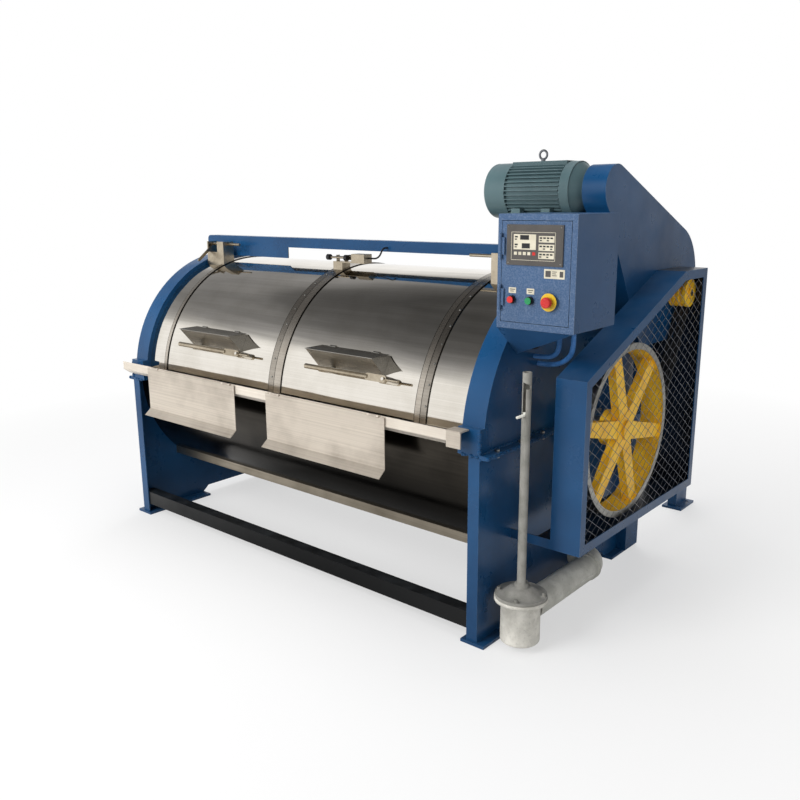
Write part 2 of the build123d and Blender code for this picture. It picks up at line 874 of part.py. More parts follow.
# Loading boards: brushed sheets that hang from pins on the gutter's front edge
for word, (board_left, board_right) in board_places.items():
    with BuildPart() as board:
        half = board_wall / 2
        fold_z = board_pin_z - board_drop
        lip_z = fold_z - board_lip_drop
        lip_y = board_pin_y - board_lip_out
        side_profile(
            board_left,
            board_right,
            [
                (board_pin_y - half, board_pin_z),
                (board_pin_y - half, fold_z),
                (lip_y - half, lip_z),
                (lip_y + half, lip_z - half),
                (board_pin_y + half, fold_z - half),
                (board_pin_y + half, board_pin_z),
            ],
        )
        for knuckle_x in (board_left + board_knuckle_inset, board_right - board_knuckle_inset):
            half_slot = board_knuckle_length / 2 + board_ear_length + running_gap
            block(
                knuckle_x - half_slot,
                knuckle_x + half_slot,
                board_pin_y - overrun,
                board_pin_y + overrun,
                board_pin_z - board_knuckle_radius - running_gap,
                board_pin_z + overrun,
                Mode.SUBTRACT,
            )
            tube(
                knuckle_x - board_knuckle_length / 2,
                knuckle_x + board_knuckle_length / 2,
                board_knuckle_radius,
                0,
                board_pin_y,
                board_pin_z,
            )
            block(
                knuckle_x - board_knuckle_length / 2,
                knuckle_x + board_knuckle_length / 2,
                board_pin_y - half,
                board_pin_y + half,
                board_pin_z - 2 * board_knuckle_radius,
                board_pin_z,
            )
            tube(
                knuckle_x - board_knuckle_length,
                knuckle_x + board_knuckle_length,
                board_pin_radius + shaft_clearance,
                0,
                board_pin_y,
                board_pin_z,
                Mode.SUBTRACT,
            )
    finish(board, f"{word}_board")

# Inner basket with three lifting ribs, two loading openings and their curved doors
basket_half = web_inner_half - basket_end_gap
basket_end_wall = 6.0
rib_height = 90.0
rib_base = 120.0
rib_count = 3
rib_start_angle = 0
basket_opening_low = 8.0
basket_opening_high = 44.0
basket_door_lap = 3.0
basket_openings = {"left": (mid_x - 850.0, mid_x - 120.0), "right": (mid_x + 30.0, mid_x + 760.0)}
with BuildPart() as basket:
    tube(
        mid_x - basket_half,
        mid_x + basket_half,
        basket_radius,
        basket_radius - basket_wall,
        drum_y,
        drum_z,
    )
    for end in (-1, 1):
        tube(
            mid_x + end * basket_half,
            mid_x + end * (basket_half - basket_end_wall),
            basket_radius,
            0,
            drum_y,
            drum_z,
        )
    for open_from, open_to in basket_openings.values():
        ring_sector(
            open_from,
            open_to,
            basket_radius - overrun,
            basket_radius + overrun,
            basket_opening_low,
            basket_opening_high,
            Mode.SUBTRACT,
        )
    rib_root = basket_radius - basket_wall / 2
    with BuildSketch(Plane.YZ.offset(mid_x - basket_half)):
        with Locations((drum_y, drum_z)):
            with PolarLocations(0, rib_count, start_angle=rib_start_angle):
                Polygon(
                    (math.sqrt(rib_root**2 - rib_base**2 / 4), -rib_base / 2),
                    (rib_root - rib_height, 0),
                    (math.sqrt(rib_root**2 - rib_base**2 / 4), rib_base / 2),
                    (rib_root, 0),
                    align=None,
                )
    extrude(amount=2 * basket_half)
finish(basket, "basket")

for word, (open_from, open_to) in basket_openings.items():
    with BuildPart() as basket_door:
        ring_sector(
            open_from - overrun,
            open_to + overrun,
            basket_radius + running_gap,
            basket_radius + running_gap + basket_wall,
            basket_opening_low - basket_door_lap,
            basket_opening_high + basket_door_lap,
        )
    finish(basket_door, f"{word}_basket_door")

# Stub shafts with flanges on the basket's ends, and their bearing housings on the webs
shaft_flange_radius = 140.0
shaft_flange_wall = 20.0
wheel_left = right_web_x + wheel_offset
wheel_right = wheel_left + wheel_width
left_shaft_end = left_web_x - bearing_length + flange_wall + gap
with BuildPart() as drum_shafts:
    tube(
        mid_x + basket_half,
        mid_x + basket_half + shaft_flange_wall,
        shaft_flange_radius,
        0,
        drum_y,
        drum_z,
    )
    tube(
        mid_x - basket_half,
        mid_x - basket_half - shaft_flange_wall,
        shaft_flange_radius,
        0,
        drum_y,
        drum_z,
    )
    tube(mid_x + basket_half, wheel_right, shaft_radius, 0, drum_y, drum_z)
    tube(mid_x - basket_half, left_shaft_end, shaft_radius, 0, drum_y, drum_z)
finish(drum_shafts, "drum_shafts")

with BuildPart() as drum_bearings:
    for side in (-1, 1):
        web_x = mid_x + side * web_half
        bore = shaft_radius + shaft_clearance
        tube(web_x, web_x + side * housing_flange_wall, housing_flange_radius, bore, drum_y, drum_z)
        tube(web_x, web_x + side * bearing_length, housing_radius, bore, drum_y, drum_z)
    cap_x = left_web_x - bearing_length
    tube(cap_x, cap_x + flange_wall, housing_radius, 0, drum_y, drum_z)
finish(drum_bearings, "drum_bearings")

# Large wheel on the right stub shaft: a spoked casting in a grooved, machined rim
rim_wall = 12.0
casting_radius = wheel_radius - rim_wall
casting_wall = 14.0
hub_radius = 74.0
hub_recess = 12.0
spoke_count = 6
spoke_root = 76.0
spoke_tip = 56.0
spoke_thickness = 34.0
spoke_inset = 14.0
spoke_start_angle = 48
groove_pitch = 22.0
drum_belt_count = 3
drum_belt_x = [wheel_left + groove_pitch * (place + 1) for place in range(drum_belt_count)]
groove_width = belt_width + 2 * belt_gap
with BuildPart() as drum_wheel:
    tube(wheel_left, wheel_right, casting_radius, casting_radius - casting_wall, drum_y, drum_z)
    tube(wheel_left, wheel_right - hub_recess, hub_radius, 0, drum_y, drum_z)
    with BuildSketch(Plane.YZ.offset(wheel_right - spoke_inset)):
        with Locations((drum_y, drum_z)):
            with PolarLocations(0, spoke_count, start_angle=spoke_start_angle):
                Polygon(
                    (hub_radius / 2, -spoke_root / 2),
                    (casting_radius - casting_wall / 2, -spoke_tip / 2),
                    (casting_radius - casting_wall / 2, spoke_tip / 2),
                    (hub_radius / 2, spoke_root / 2),
                    align=None,
                )
    extrude(amount=-spoke_thickness)
    tube(wheel_left - overrun, wheel_right + overrun, shaft_radius + shaft_clearance, 0, drum_y, drum_z, Mode.SUBTRACT)
    tube(wheel_left, wheel_right, wheel_radius, casting_radius, drum_y, drum_z)
    for belt_x in drum_belt_x:
        tube(
            belt_x - groove_width / 2,
            belt_x + groove_width / 2,
            wheel_radius + overrun,
            wheel_radius - belt_depth,
            drum_y,
            drum_z,
            Mode.SUBTRACT,
        )
finish(drum_wheel, "drum_wheel")

# Belt cover over the motor pulley and the large jackshaft pulley
cover_inner_x = right_web_x + 78.0
cover_depth = 100.0
cover_outer_x = cover_inner_x + cover_depth
cover_wall = 3.0
jack_y = front_y + jackshaft_setback
jack_z = jackshaft_height
motor_y = front_y + motor_setback
motor_z = motor_height

# Jackshaft with its large driven pulley inside the cover and its small drive pulley outside
large_pulley_left = cover_inner_x + 14.0
large_pulley_width = 72.0
small_pulley_left = drum_belt_x[0] - groove_pitch / 2 - belt_gap
small_pulley_width = groove_pitch * (drum_belt_count + 0.5)
jackshaft_left = mid_x + 1030.0
jackshaft_right = small_pulley_left + small_pulley_width + 8.0
motor_belt_x = [
    large_pulley_left + large_pulley_width / 2 - groove_pitch / 2,
    large_pulley_left + large_pulley_width / 2 + groove_pitch / 2,
]


def grooved_pulley(x_from, x_to, radius, bore, y, z, belts):
    """Add a grooved pulley that turns about X to the piece being built."""
    tube(x_from, x_to, radius, bore, y, z)
    for belt_x in belts:
        tube(
            belt_x - groove_width / 2,
            belt_x + groove_width / 2,
            radius + overrun,
            radius - belt_depth,
            y,
            z,
            Mode.SUBTRACT,
        )


pulley_web = 18.0
pulley_rim = 24.0
pulley_hub = 50.0
lightening_radius = 38.0
with BuildPart() as jackshaft:
    large_right = large_pulley_left + large_pulley_width
    bore = jackshaft_radius + shaft_clearance
    grooved_pulley(large_pulley_left, large_right, large_pulley_radius, bore, jack_y, jack_z, motor_belt_x)
    recess = (large_pulley_width - pulley_web) / 2
    for recess_from, recess_to in (
        (large_pulley_left, large_pulley_left + recess),
        (large_right - recess, large_right),
    ):
        tube(
            recess_from,
            recess_to,
            large_pulley_radius - pulley_rim,
            pulley_hub,
            jack_y,
            jack_z,
            Mode.SUBTRACT,
        )
    with BuildSketch(Plane.YZ.offset(large_pulley_left)):
        with Locations((jack_y, jack_z)):
            with PolarLocations((large_pulley_radius - pulley_rim + pulley_hub) / 2, 5):
                Circle(lightening_radius)
    extrude(amount=large_pulley_width, mode=Mode.SUBTRACT)
    small_right = small_pulley_left + small_pulley_width
    grooved_pulley(small_pulley_left, small_right, small_pulley_radius, bore, jack_y, jack_z, drum_belt_x)
    tube(jackshaft_left, jackshaft_right, jackshaft_radius, 0, jack_y, jack_z)
finish(jackshaft, "jackshaft")

# V-belts of both stages, each a closed loop in its grooves


def belt_loop(belt_x, first, first_radius, second, second_radius):
    """Add one belt round two pulleys to the piece being built."""
    with BuildSketch(Plane.YZ.offset(belt_x - belt_width / 2)) as outside:
        with Locations(first):
            Circle(first_radius + belt_gap)
        with Locations(second):
            Circle(second_radius + belt_gap)
        make_hull()
    with BuildSketch(Plane.YZ.offset(belt_x - belt_width / 2)) as inside:
        with Locations(first):
            Circle(first_radius - belt_depth + belt_gap)
        with Locations(second):
            Circle(second_radius - belt_depth + belt_gap)
        make_hull()
    extrude(outside.sketch - inside.sketch, amount=belt_width)


with BuildPart() as drum_belts:
    for belt_x in drum_belt_x:
        belt_loop(belt_x, (drum_y, drum_z), wheel_radius, (jack_y, jack_z), small_pulley_radius)
finish(drum_belts, "drum_belts")

with BuildPart() as motor_belts:
    for belt_x in motor_belt_x:
        belt_loop(belt_x, (motor_y, motor_z), motor_pulley_radius, (jack_y, jack_z), large_pulley_radius)
finish(motor_belts, "motor_belts")

# Motor: ribbed body with feet, fan cover, rotor with its fan, and the pulley on its shaft
fan_cover_left = mid_x + 765.0
fan_cover_length = 99.0
body_left = fan_cover_left + fan_cover_length
rib_span = 258.0
shield_left = body_left + rib_span
shield_right = cover_inner_x - gap
core_radius = 100.0
core_wall = 8.0
motor_rib_wall = 4.0
motor_rib_count = 40
motor_shaft_radius = 19.0
shield_nose_radius = 62.0
motor_foot_height = 112.0
motor_foot_width = 40.0
motor_foot_length = 210.0
pad_width = 92.0
pad_rise = 14.0
rotor_radius = 58.0
stator_gap = 1.0
eye_ring_radius = 17.0
eye_wire_radius = 4.5
eye_stem_height = 14.0
eye_x = mid_x + 984.0
with BuildPart() as motor_body:
    tube(body_left, shield_left, core_radius, core_radius - core_wall, motor_y, motor_z)
    with BuildSketch(Plane.YZ.offset(body_left + motor_rib_wall)):
        with Locations((motor_y, motor_z)):
            with PolarLocations((core_radius + motor_radius) / 2 - motor_rib_wall / 4, motor_rib_count):
                Rectangle(motor_radius - core_radius, motor_rib_wall)
        with Locations((motor_y, motor_z + core_radius)):
            Rectangle(pad_width, 2 * pad_rise)
    extrude(amount=rib_span - 2 * motor_rib_wall)
    with BuildSketch(Plane.YZ.offset(shield_left)):
        with Locations((motor_y, motor_z)):
            Circle(motor_radius)
    extrude(amount=motor_foot_width)
    with BuildSketch(Plane.YZ.offset(shield_left + motor_foot_width)):
        with Locations((motor_y, motor_z)):
            Circle(motor_radius - motor_rib_wall)
    with BuildSketch(Plane.YZ.offset(shield_right)):
        with Locations((motor_y, motor_z)):
            Circle(shield_nose_radius)
    loft()
    tube(
        body_left + core_wall,
        shield_left,
        core_radius - core_wall,
        0,
        motor_y,
        motor_z,
        Mode.SUBTRACT,
    )
    tube(body_left, body_left + core_wall, core_radius, 0, motor_y, motor_z)
    tube(body_left, body_left + motor_rib_wall, motor_radius, 0, motor_y, motor_z)
    tube(
        body_left - overrun,
        shield_right + overrun,
        motor_shaft_radius + shaft_clearance,
        0,
        motor_y,
        motor_z,
        Mode.SUBTRACT,
    )
    foot_top = motor_z - core_radius * math.cos(math.radians(45))
    for foot_from in (body_left + motor_foot_width, shield_left - 2 * motor_foot_width):
        for foot_side in (-1, 1):
            foot_edge = motor_y + foot_side * motor_foot_length / 2
            block(
                foot_from,
                foot_from + motor_foot_width,
                min(foot_edge, foot_edge - foot_side * motor_foot_width),
                max(foot_edge, foot_edge - foot_side * motor_foot_width),
                motor_z - motor_foot_height,
                foot_top,
            )
    block(
        body_left + motor_foot_width,
        shield_left - motor_foot_width,
        motor_y - motor_foot_length / 2,
        motor_y + motor_foot_length / 2,
        motor_z - motor_foot_height,
        motor_z - motor_foot_height + core_wall,
    )
    tube(
        body_left + 2 * overrun,
        shield_left - 2 * overrun,
        core_radius - core_wall / 2,
        rotor_radius + stator_gap,
        motor_y,
        motor_z,
    )
    with BuildSketch(Plane.XY.offset(motor_z + core_radius + pad_rise)):
        with Locations((eye_x, motor_y)):
            Circle(2 * eye_wire_radius)
    extrude(amount=eye_stem_height)
    eye_z = motor_z + core_radius + pad_rise + eye_stem_height + eye_ring_radius - eye_wire_radius
    with BuildSketch(Plane.XY.offset(eye_z)):
        with Locations((eye_x + eye_ring_radius, motor_y)):
            Circle(eye_wire_radius)
    revolve(axis=Axis((eye_x, motor_y, eye_z), (0, 1, 0)))
finish(motor_body, "motor_body")

cover_skin = 2.0
cover_round = 14.0
grille_hole_radius = 8.0
grille_rings = ((30.0, 6), (58.0, 12), (84.0, 18))
with BuildPart() as motor_fan_cover:
    tube(fan_cover_left, body_left - gap, motor_radius, 0, motor_y, motor_z)
    fillet(edges().filter_by(GeomType.CIRCLE).sort_by(Axis.X)[0], radius=cover_round)
    tube(
        fan_cover_left + cover_round,
        body_left + overrun,
        motor_radius - cover_skin,
        0,
        motor_y,
        motor_z,
        Mode.SUBTRACT,
    )
    tube(
        fan_cover_left + cover_skin,
        body_left + overrun,
        motor_radius - cover_round,
        0,
        motor_y,
        motor_z,
        Mode.SUBTRACT,
    )
    for ring_radius, ring_count in grille_rings:
        with BuildSketch(Plane.YZ.offset(fan_cover_left - overrun)):
            with Locations((motor_y, motor_z)):
                with PolarLocations(ring_radius, ring_count):
                    Circle(grille_hole_radius)
        extrude(amount=2 * overrun, mode=Mode.SUBTRACT)
finish(motor_fan_cover, "motor_fan_cover")

fan_radius = 88.0
fan_wall = 6.0
fan_blade_count = 8
fan_blade_width = 40.0
fan_blade_tip = fan_radius - fan_wall
fan_blade_root = motor_shaft_radius - fan_wall
motor_pulley_left = large_pulley_left
with BuildPart() as motor_rotor:
    tube(fan_cover_left + 3 * cover_round, motor_pulley_left + large_pulley_width, motor_shaft_radius, 0, motor_y, motor_z)
    tube(body_left + 2 * overrun, shield_left - 2 * overrun, rotor_radius, 0, motor_y, motor_z)
    fan_left = fan_cover_left + 3 * cover_round
    tube(fan_left + fan_blade_width, fan_left + fan_blade_width + fan_wall, fan_radius, 0, motor_y, motor_z)
    with BuildSketch(Plane.YZ.offset(fan_left + fan_blade_width)):
        with Locations((motor_y, motor_z)):
            with PolarLocations((fan_blade_tip + fan_blade_root) / 2, fan_blade_count):
                Rectangle(fan_blade_tip - fan_blade_root, fan_wall)
    extrude(amount=-fan_blade_width)
    pulley_to = motor_pulley_left + large_pulley_width
    grooved_pulley(motor_pulley_left, pulley_to, motor_pulley_radius, 0, motor_y, motor_z, motor_belt_x)
finish(motor_rotor, "motor_rotor")

# Motor stand: a table on two plates that sit on the right rim
table_wall = 12.0
table_left = mid_x + 900.0
table_front = motor_y - 118.0
table_back = motor_y + 118.0
table_top = motor_z - motor_foot_height
stand_plate_wall = 8.0
stand_plate_back = motor_y + 90.0
stand_plate_front = beam_y + beam_size + gap
with BuildPart() as motor_stand:
    block(table_left, cover_inner_x - gap, table_front, table_back, table_top - table_wall, table_top)
    for plate_x in (right_web_x - rim_width + stand_plate_wall, right_web_x - 2 * stand_plate_wall):
        block(
            plate_x,
            plate_x + stand_plate_wall,
            stand_plate_front,
            stand_plate_back,
            drum_z + shell_radius,
            table_top - table_wall,
        )
    block(
        right_web_x - rim_width + stand_plate_wall,
        right_web_x - stand_plate_wall,
        stand_plate_front,
        stand_plate_front + stand_plate_wall,
        drum_z + shell_radius,
        table_top - table_wall,
    )
    tube(left_web_x, right_web_x + overrun, rim_radius + gap, 0, drum_y, drum_z, Mode.SUBTRACT)
finish(motor_stand, "motor_stand")

# Folded belt cover: two faces with a wall round their edge, open for the shafts
cover_nose_radius = 96.0
cover_tail_radius = 248.0
cover_tail_y = front_y + 1241.0
cover_tail_z = 1323.0
cover_front_low_y = front_y + 579.0
cover_front_low_z = 1627.0
cover_foot_y = front_y + 931.0
cover_foot_z = 1070.0
shaft_window = 34.0


def cover_outline(inset):
    """Draw the cover's side outline, drawn in by the inset, in the sketch being built."""
    line_length = math.hypot(cover_foot_y - cover_front_low_y, cover_front_low_z - cover_foot_z)
    inward_y = (cover_front_low_z - cover_foot_z) / line_length
    inward_z = (cover_foot_y - cover_front_low_y) / line_length
    with Locations((motor_y, motor_z)):
        Circle(cover_nose_radius - inset)
    with Locations((cover_tail_y, cover_tail_z)):
        Circle(cover_tail_radius - inset)
    make_hull()
    with BuildLine() as lower_front:
        Polyline(
            (cover_front_low_y + inset * inward_y, cover_front_low_z + inset * inward_z),
            (cover_foot_y + inset * (1 - inward_z) / inward_y, cover_foot_z + inset),
            (cover_tail_y + cover_tail_radius - inset, cover_foot_z + inset),
            (cover_tail_y + cover_tail_radius - inset, cover_tail_z),
            (motor_y, motor_z),
            close=True,
        )
    make_face(lower_front.edges())


with BuildPart() as belt_cover:
    with BuildSketch(Plane.YZ.offset(cover_inner_x)):
        cover_outline(0)
    extrude(amount=cover_depth)
    with BuildSketch(Plane.YZ.offset(cover_inner_x + cover_wall)):
        cover_outline(cover_wall)
    extrude(amount=cover_depth - 2 * cover_wall, mode=Mode.SUBTRACT)
    tube(cover_inner_x - overrun, cover_inner_x + overrun, shaft_window, 0, motor_y, motor_z, Mode.SUBTRACT)
    tube(cover_inner_x - overrun, cover_outer_x + overrun, shaft_window, 0, jack_y, jack_z, Mode.SUBTRACT)
finish(belt_cover, "belt_cover")

# Drive stand: rear leg, outrigger post and beam that carry the jackshaft bearings
leg_width = 130.0
leg_depth = 50.0
outrigger_y = front_y + 1925.0
outrigger_width = 140.0
stand_beam_bottom = 1165.0
stand_beam_height = 50.0
bearing_seat_wall = 12.0
cover_clearance = 2.0
rear_tie_bottom = 300.0
tie_lap = 34.0
leg_x = right_web_x + gap
upper_leg_x = right_web_x + split_flange_reach + gap
stand_right = cover_inner_x - cover_clearance
knee_bottom = split_height - split_flange_wall - gap - stand_beam_height
with BuildPart() as drive_stand:
    knee_top = knee_bottom + stand_beam_height
    block(leg_x, leg_x + leg_depth, leg_y, leg_y + leg_width, foot_thickness, knee_top)
    block(leg_x + leg_depth, stand_right, leg_y, leg_y + leg_width, knee_bottom, knee_top)
    block(upper_leg_x, stand_right, leg_y, leg_y + leg_width, knee_bottom, stand_beam_bottom)
    lap_back = leg_y + leg_width + tie_lap
    block(leg_x, stand_right, leg_y, lap_back, stand_beam_bottom, stand_beam_bottom + stand_beam_height)
    block(
        leg_x,
        leg_x + leg_depth,
        leg_y,
        lap_back,
        rear_tie_bottom,
        rear_tie_bottom + stand_beam_height,
    )
    for tie_bottom in (rear_tie_bottom, stand_beam_bottom):
        block(
            leg_x - leg_depth,
            leg_x,
            back_y + gap,
            outrigger_y,
            tie_bottom,
            tie_bottom + stand_beam_height,
        )
    block(
        leg_x - leg_depth,
        leg_x,
        outrigger_y,
        outrigger_y + outrigger_width,
        foot_thickness,
        stand_beam_bottom + stand_beam_height,
    )
    block(
        jackshaft_left - overrun,
        stand_right,
        jack_y - leg_width / 2,
        jack_y + leg_width / 2,
        stand_beam_bottom + stand_beam_height,
        stand_beam_bottom + stand_beam_height + bearing_seat_wall,
    )
finish(drive_stand, "drive_stand")

pillow_width = 46.0
pillow_half = 62.0
pillow_radius = 46.0
pillow_base = 16.0
with BuildPart() as jackshaft_bearings:
    seat_z = stand_beam_bottom + stand_beam_height + bearing_seat_wall
    for pillow_x in (jackshaft_left + overrun / 2, leg_x - leg_depth / 2 + pillow_width / 2):
        block(
            pillow_x,
            pillow_x + pillow_width,
            jack_y - pillow_half,
            jack_y + pillow_half,
            seat_z,
            seat_z + pillow_base,
        )
        tube(pillow_x, pillow_x + pillow_width, pillow_radius, 0, jack_y, jack_z)
        tube(
            pillow_x - overrun,
            pillow_x + pillow_width + overrun,
            jackshaft_radius + shaft_clearance,
            0,
            jack_y,
            jack_z,
            Mode.SUBTRACT,
        )
        block(
            pillow_x,
            pillow_x + pillow_width,
            jack_y - pillow_radius / 2,
            jack_y + pillow_radius / 2,
            seat_z,
            jack_z - jackshaft_radius - flange_wall,
        )
finish(jackshaft_bearings, "jackshaft_bearings")

# Guard: an angle frame with a diamond net on its right face and a sheet over its front and top
guard_outer_x = mid_x + 1442.0
guard_front = front_y + 225.0
guard_back = front_y + 1300.0
guard_bottom = 379.0
guard_shoulder = 1053.0
guard_top_depth = 242.0
guard_slope_y = guard_back - guard_top_depth
guard_top = 1390.0
guard_leg = 38.0
guard_wall = 4.0
guard_inner_x = cover_outer_x + gap
sheet_wall = 2.0
guard_points = [
    (guard_front, guard_bottom),
    (guard_front, guard_shoulder),
    (guard_slope_y, guard_top),
    (guard_back, guard_top),
    (guard_back, guard_bottom),
]
with BuildPart() as guard_frame:
    with BuildSketch(Plane.YZ.offset(guard_outer_x)):
        with BuildLine():
            Polyline(*guard_points, close=True)
        make_face()
        offset(amount=-guard_leg, kind=Kind.INTERSECTION, mode=Mode.SUBTRACT)
    extrude(amount=-guard_wall)
    with BuildSketch(Plane.YZ.offset(guard_outer_x - guard_wall)):
        with BuildLine():
            Polyline(*guard_points, close=True)
        make_face()
        offset(amount=-guard_wall, kind=Kind.INTERSECTION, mode=Mode.SUBTRACT)
    extrude(amount=-(guard_leg - guard_wall))
    arm_right = guard_outer_x - guard_wall
    arm_bottom = cover_foot_z - 2 * guard_leg
    for arm_left, arm_y, arm_z in (
        (stand_right, guard_back - guard_wall, arm_bottom),
        (leg_x + leg_depth, guard_back - guard_wall, guard_bottom),
        (right_web_x, guard_front, guard_bottom),
    ):
        block(arm_left, arm_right, arm_y, arm_y + guard_wall, arm_z, arm_z + guard_leg)
    sheet_left = guard_inner_x
    sheet_right = guard_outer_x - guard_leg
    slope_run = guard_slope_y - guard_front
    slope_rise = guard_top - guard_shoulder
    slope_length = math.hypot(slope_run, slope_rise)
    sheet_points = [
        (guard_front, guard_bottom),
        (guard_front, guard_shoulder),
        (guard_slope_y, guard_top),
        (guard_back, guard_top),
        (guard_back, guard_top - sheet_wall),
        (guard_slope_y + sheet_wall * slope_rise / slope_length / 2, guard_top - sheet_wall),
        (guard_front + sheet_wall, guard_shoulder - sheet_wall / 2),
        (guard_front + sheet_wall, guard_bottom),
    ]
    side_profile(sheet_left, sheet_right, sheet_points)
    block(
        sheet_left,
        guard_outer_x - guard_wall,
        guard_back,
        guard_back + sheet_wall,
        guard_bottom,
        guard_top,
    )
    block(
        stand_right,
        sheet_left,
        guard_back,
        guard_back + sheet_wall,
        guard_bottom,
        cover_foot_z - gap,
    )
    # The bottom sheet under the wheel closes the guard downwards
    block(
        stand_right,
        guard_outer_x - guard_wall,
        guard_front,
        guard_back + sheet_wall,
        guard_bottom,
        guard_bottom + sheet_wall,
    )
finish(guard_frame, "guard_frame")

# Expanded net: one holed face with rows of diamonds inside the frame's opening
net_wall = 2.0
net_pitch_y = 64.0
net_pitch_z = 88.0
net_strand = 5.0
net_x = guard_outer_x - guard_wall - gap
net_margin = guard_wall + gap
net_columns = int((guard_back - guard_front) / net_pitch_y) + 1
net_rows = int((guard_top - guard_bottom) / net_pitch_z) + 1
with BuildPart() as guard_mesh:
    with BuildSketch(Plane.YZ.offset(net_x)):
        with BuildLine():
            Polyline(*guard_points, close=True)
        make_face()
        offset(amount=-net_margin, kind=Kind.INTERSECTION, mode=Mode.REPLACE)
    extrude(amount=-net_wall)
    centres = []
    for row in range(2 * net_rows):
        for column in range(net_columns):
            centre_y = guard_front + (column + 0.5 * (row % 2)) * net_pitch_y + net_pitch_y / 2
            centre_z = guard_bottom + net_pitch_z / 2 + row * net_pitch_z / 2
            slope_z = guard_shoulder + (centre_y - net_pitch_y / 2 - guard_front) * slope_rise / slope_run
            ceiling = min(slope_z, guard_top) - guard_leg / 2 - net_pitch_z / 2
            in_width = guard_front + net_pitch_y / 2 < centre_y < guard_back - net_pitch_y / 2 - net_margin
            if in_width and centre_z < ceiling and centre_z > guard_bottom + net_pitch_z / 2 + net_margin:
                centres.append((centre_y, centre_z))
    with BuildSketch(Plane.YZ.offset(net_x)):
        with Locations(*centres):
            Polygon(
                (-net_pitch_y / 2 + net_strand, 0),
                (0, -net_pitch_z / 2 + net_strand),
                (net_pitch_y / 2 - net_strand, 0),
                (0, net_pitch_z / 2 - net_strand),
            )
    extrude(amount=-net_wall, mode=Mode.SUBTRACT)
print("gaps in the guard net:", len(centres))
finish(guard_mesh, "guard_mesh")

# Control box: a sheet case with a front border, carried by a sloping gusset on the web
box_left = right_web_x
box_right = box_left + box_width
box_front = front_y + box_setback
box_back = box_front + box_depth
box_top = box_bottom + box_height
border_left = 17.0
border_right = 22.0
border_height = 24.0
door_wall = 3.0
door_gap = 2.0
hinge_radius = 6.0
hinge_pin_radius = 3.0
hinge_length = 60.0
hinge_rise_share = 0.16
hinge_out = 7.0
panel_door_left = box_left + border_left
panel_door_right = box_right - border_right
panel_door_bottom = box_bottom + border_height
panel_door_top = box_top - border_height
hinge_x = panel_door_left
hinge_y = box_front - hinge_out
hinge_span = panel_door_top - panel_door_bottom
hinge_places = [
    panel_door_bottom + hinge_span * hinge_rise_share,
    panel_door_top - hinge_span * hinge_rise_share - hinge_length,
]
with BuildPart() as control_box:
    block(box_left, box_right, box_front, box_back, box_bottom, box_top)
    block(
        box_left + box_wall,
        box_right - box_wall,
        box_front + box_wall,
        box_back - box_wall,
        box_bottom + box_wall,
        box_top - box_wall,
        Mode.SUBTRACT,
    )
    block(
        panel_door_left - door_gap,
        panel_door_right + door_gap,
        box_front - overrun,
        box_front + overrun,
        panel_door_bottom - door_gap,
        panel_door_top + door_gap,
        Mode.SUBTRACT,
    )
    for hinge_z in hinge_places:
        for ear_z in (hinge_z - hinge_length / 4, hinge_z + hinge_length):
            with BuildSketch(Plane.XY.offset(ear_z)):
                with Locations((hinge_x - door_gap, hinge_y)):
                    Circle(hinge_radius)
                with Locations((hinge_x - hinge_radius - door_gap / 2, hinge_y + hinge_out / 2)):
                    Rectangle(hinge_radius, hinge_out)
            extrude(amount=hinge_length / 4 - running_gap)
        with BuildSketch(Plane.XY.offset(hinge_z - hinge_length / 4)):
            with Locations((hinge_x - door_gap, hinge_y)):
                Circle(hinge_pin_radius)
        extrude(amount=hinge_length * 1.5 - running_gap)
    gusset_length = math.hypot(gusset_drop, gusset_back)
    gusset_plane = Plane(
        origin=(box_left, box_front, box_bottom),
        x_dir=(1, 0, 0),
        z_dir=(0, gusset_drop / gusset_length, gusset_back / gusset_length),
    )
    with BuildSketch(gusset_plane) as gusset_sheet:
        with BuildLine():
            Polyline((0, 0), (box_width, 0), (0, gusset_length), close=True)
        make_face()
    extrude(gusset_sheet.sketch, amount=gusset_wall)
    side_profile(
        box_left,
        box_left + gusset_wall,
        [
            (box_front, box_bottom),
            (box_front + gusset_back, box_bottom - gusset_drop),
            (box_back - gusset_wall, box_bottom),
        ],
    )
    tube(left_web_x, right_web_x, rim_radius + gap, 0, drum_y, drum_z, Mode.SUBTRACT)
finish(control_box, "control_box")

# Control door: inset sheet with a returned edge, its hinge knuckles and the holes for the buttons
button_radius = 11.0
button_z = 1345.0
stop_x = mid_x + 1202.0
start_x = mid_x + 1276.0
emergency_x = mid_x + 1355.0
with BuildPart() as control_door:
    block(
        panel_door_left,
        panel_door_right,
        box_front,
        box_front + door_wall,
        panel_door_bottom,
        panel_door_top,
    )
    for hinge_z in hinge_places:
        with BuildSketch(Plane.XY.offset(hinge_z)):
            with Locations((hinge_x - door_gap, hinge_y)):
                Circle(hinge_radius)
            with Locations((hinge_x + hinge_radius, hinge_y + hinge_out / 2 + door_wall / 4)):
                Rectangle(2 * hinge_radius + 2 * door_gap, hinge_out + door_wall / 2)
            with Locations((hinge_x - door_gap, hinge_y)):
                Circle(hinge_pin_radius + shaft_clearance, mode=Mode.SUBTRACT)
        extrude(amount=hinge_length - running_gap)
    with BuildSketch(Plane.XZ.offset(-(box_front - overrun))):
        with Locations((stop_x, button_z), (start_x, button_z), (emergency_x, button_z)):
            Circle(button_radius + shaft_clearance)
    extrude(amount=-2 * overrun, mode=Mode.SUBTRACT)
finish(control_door, "control_door")

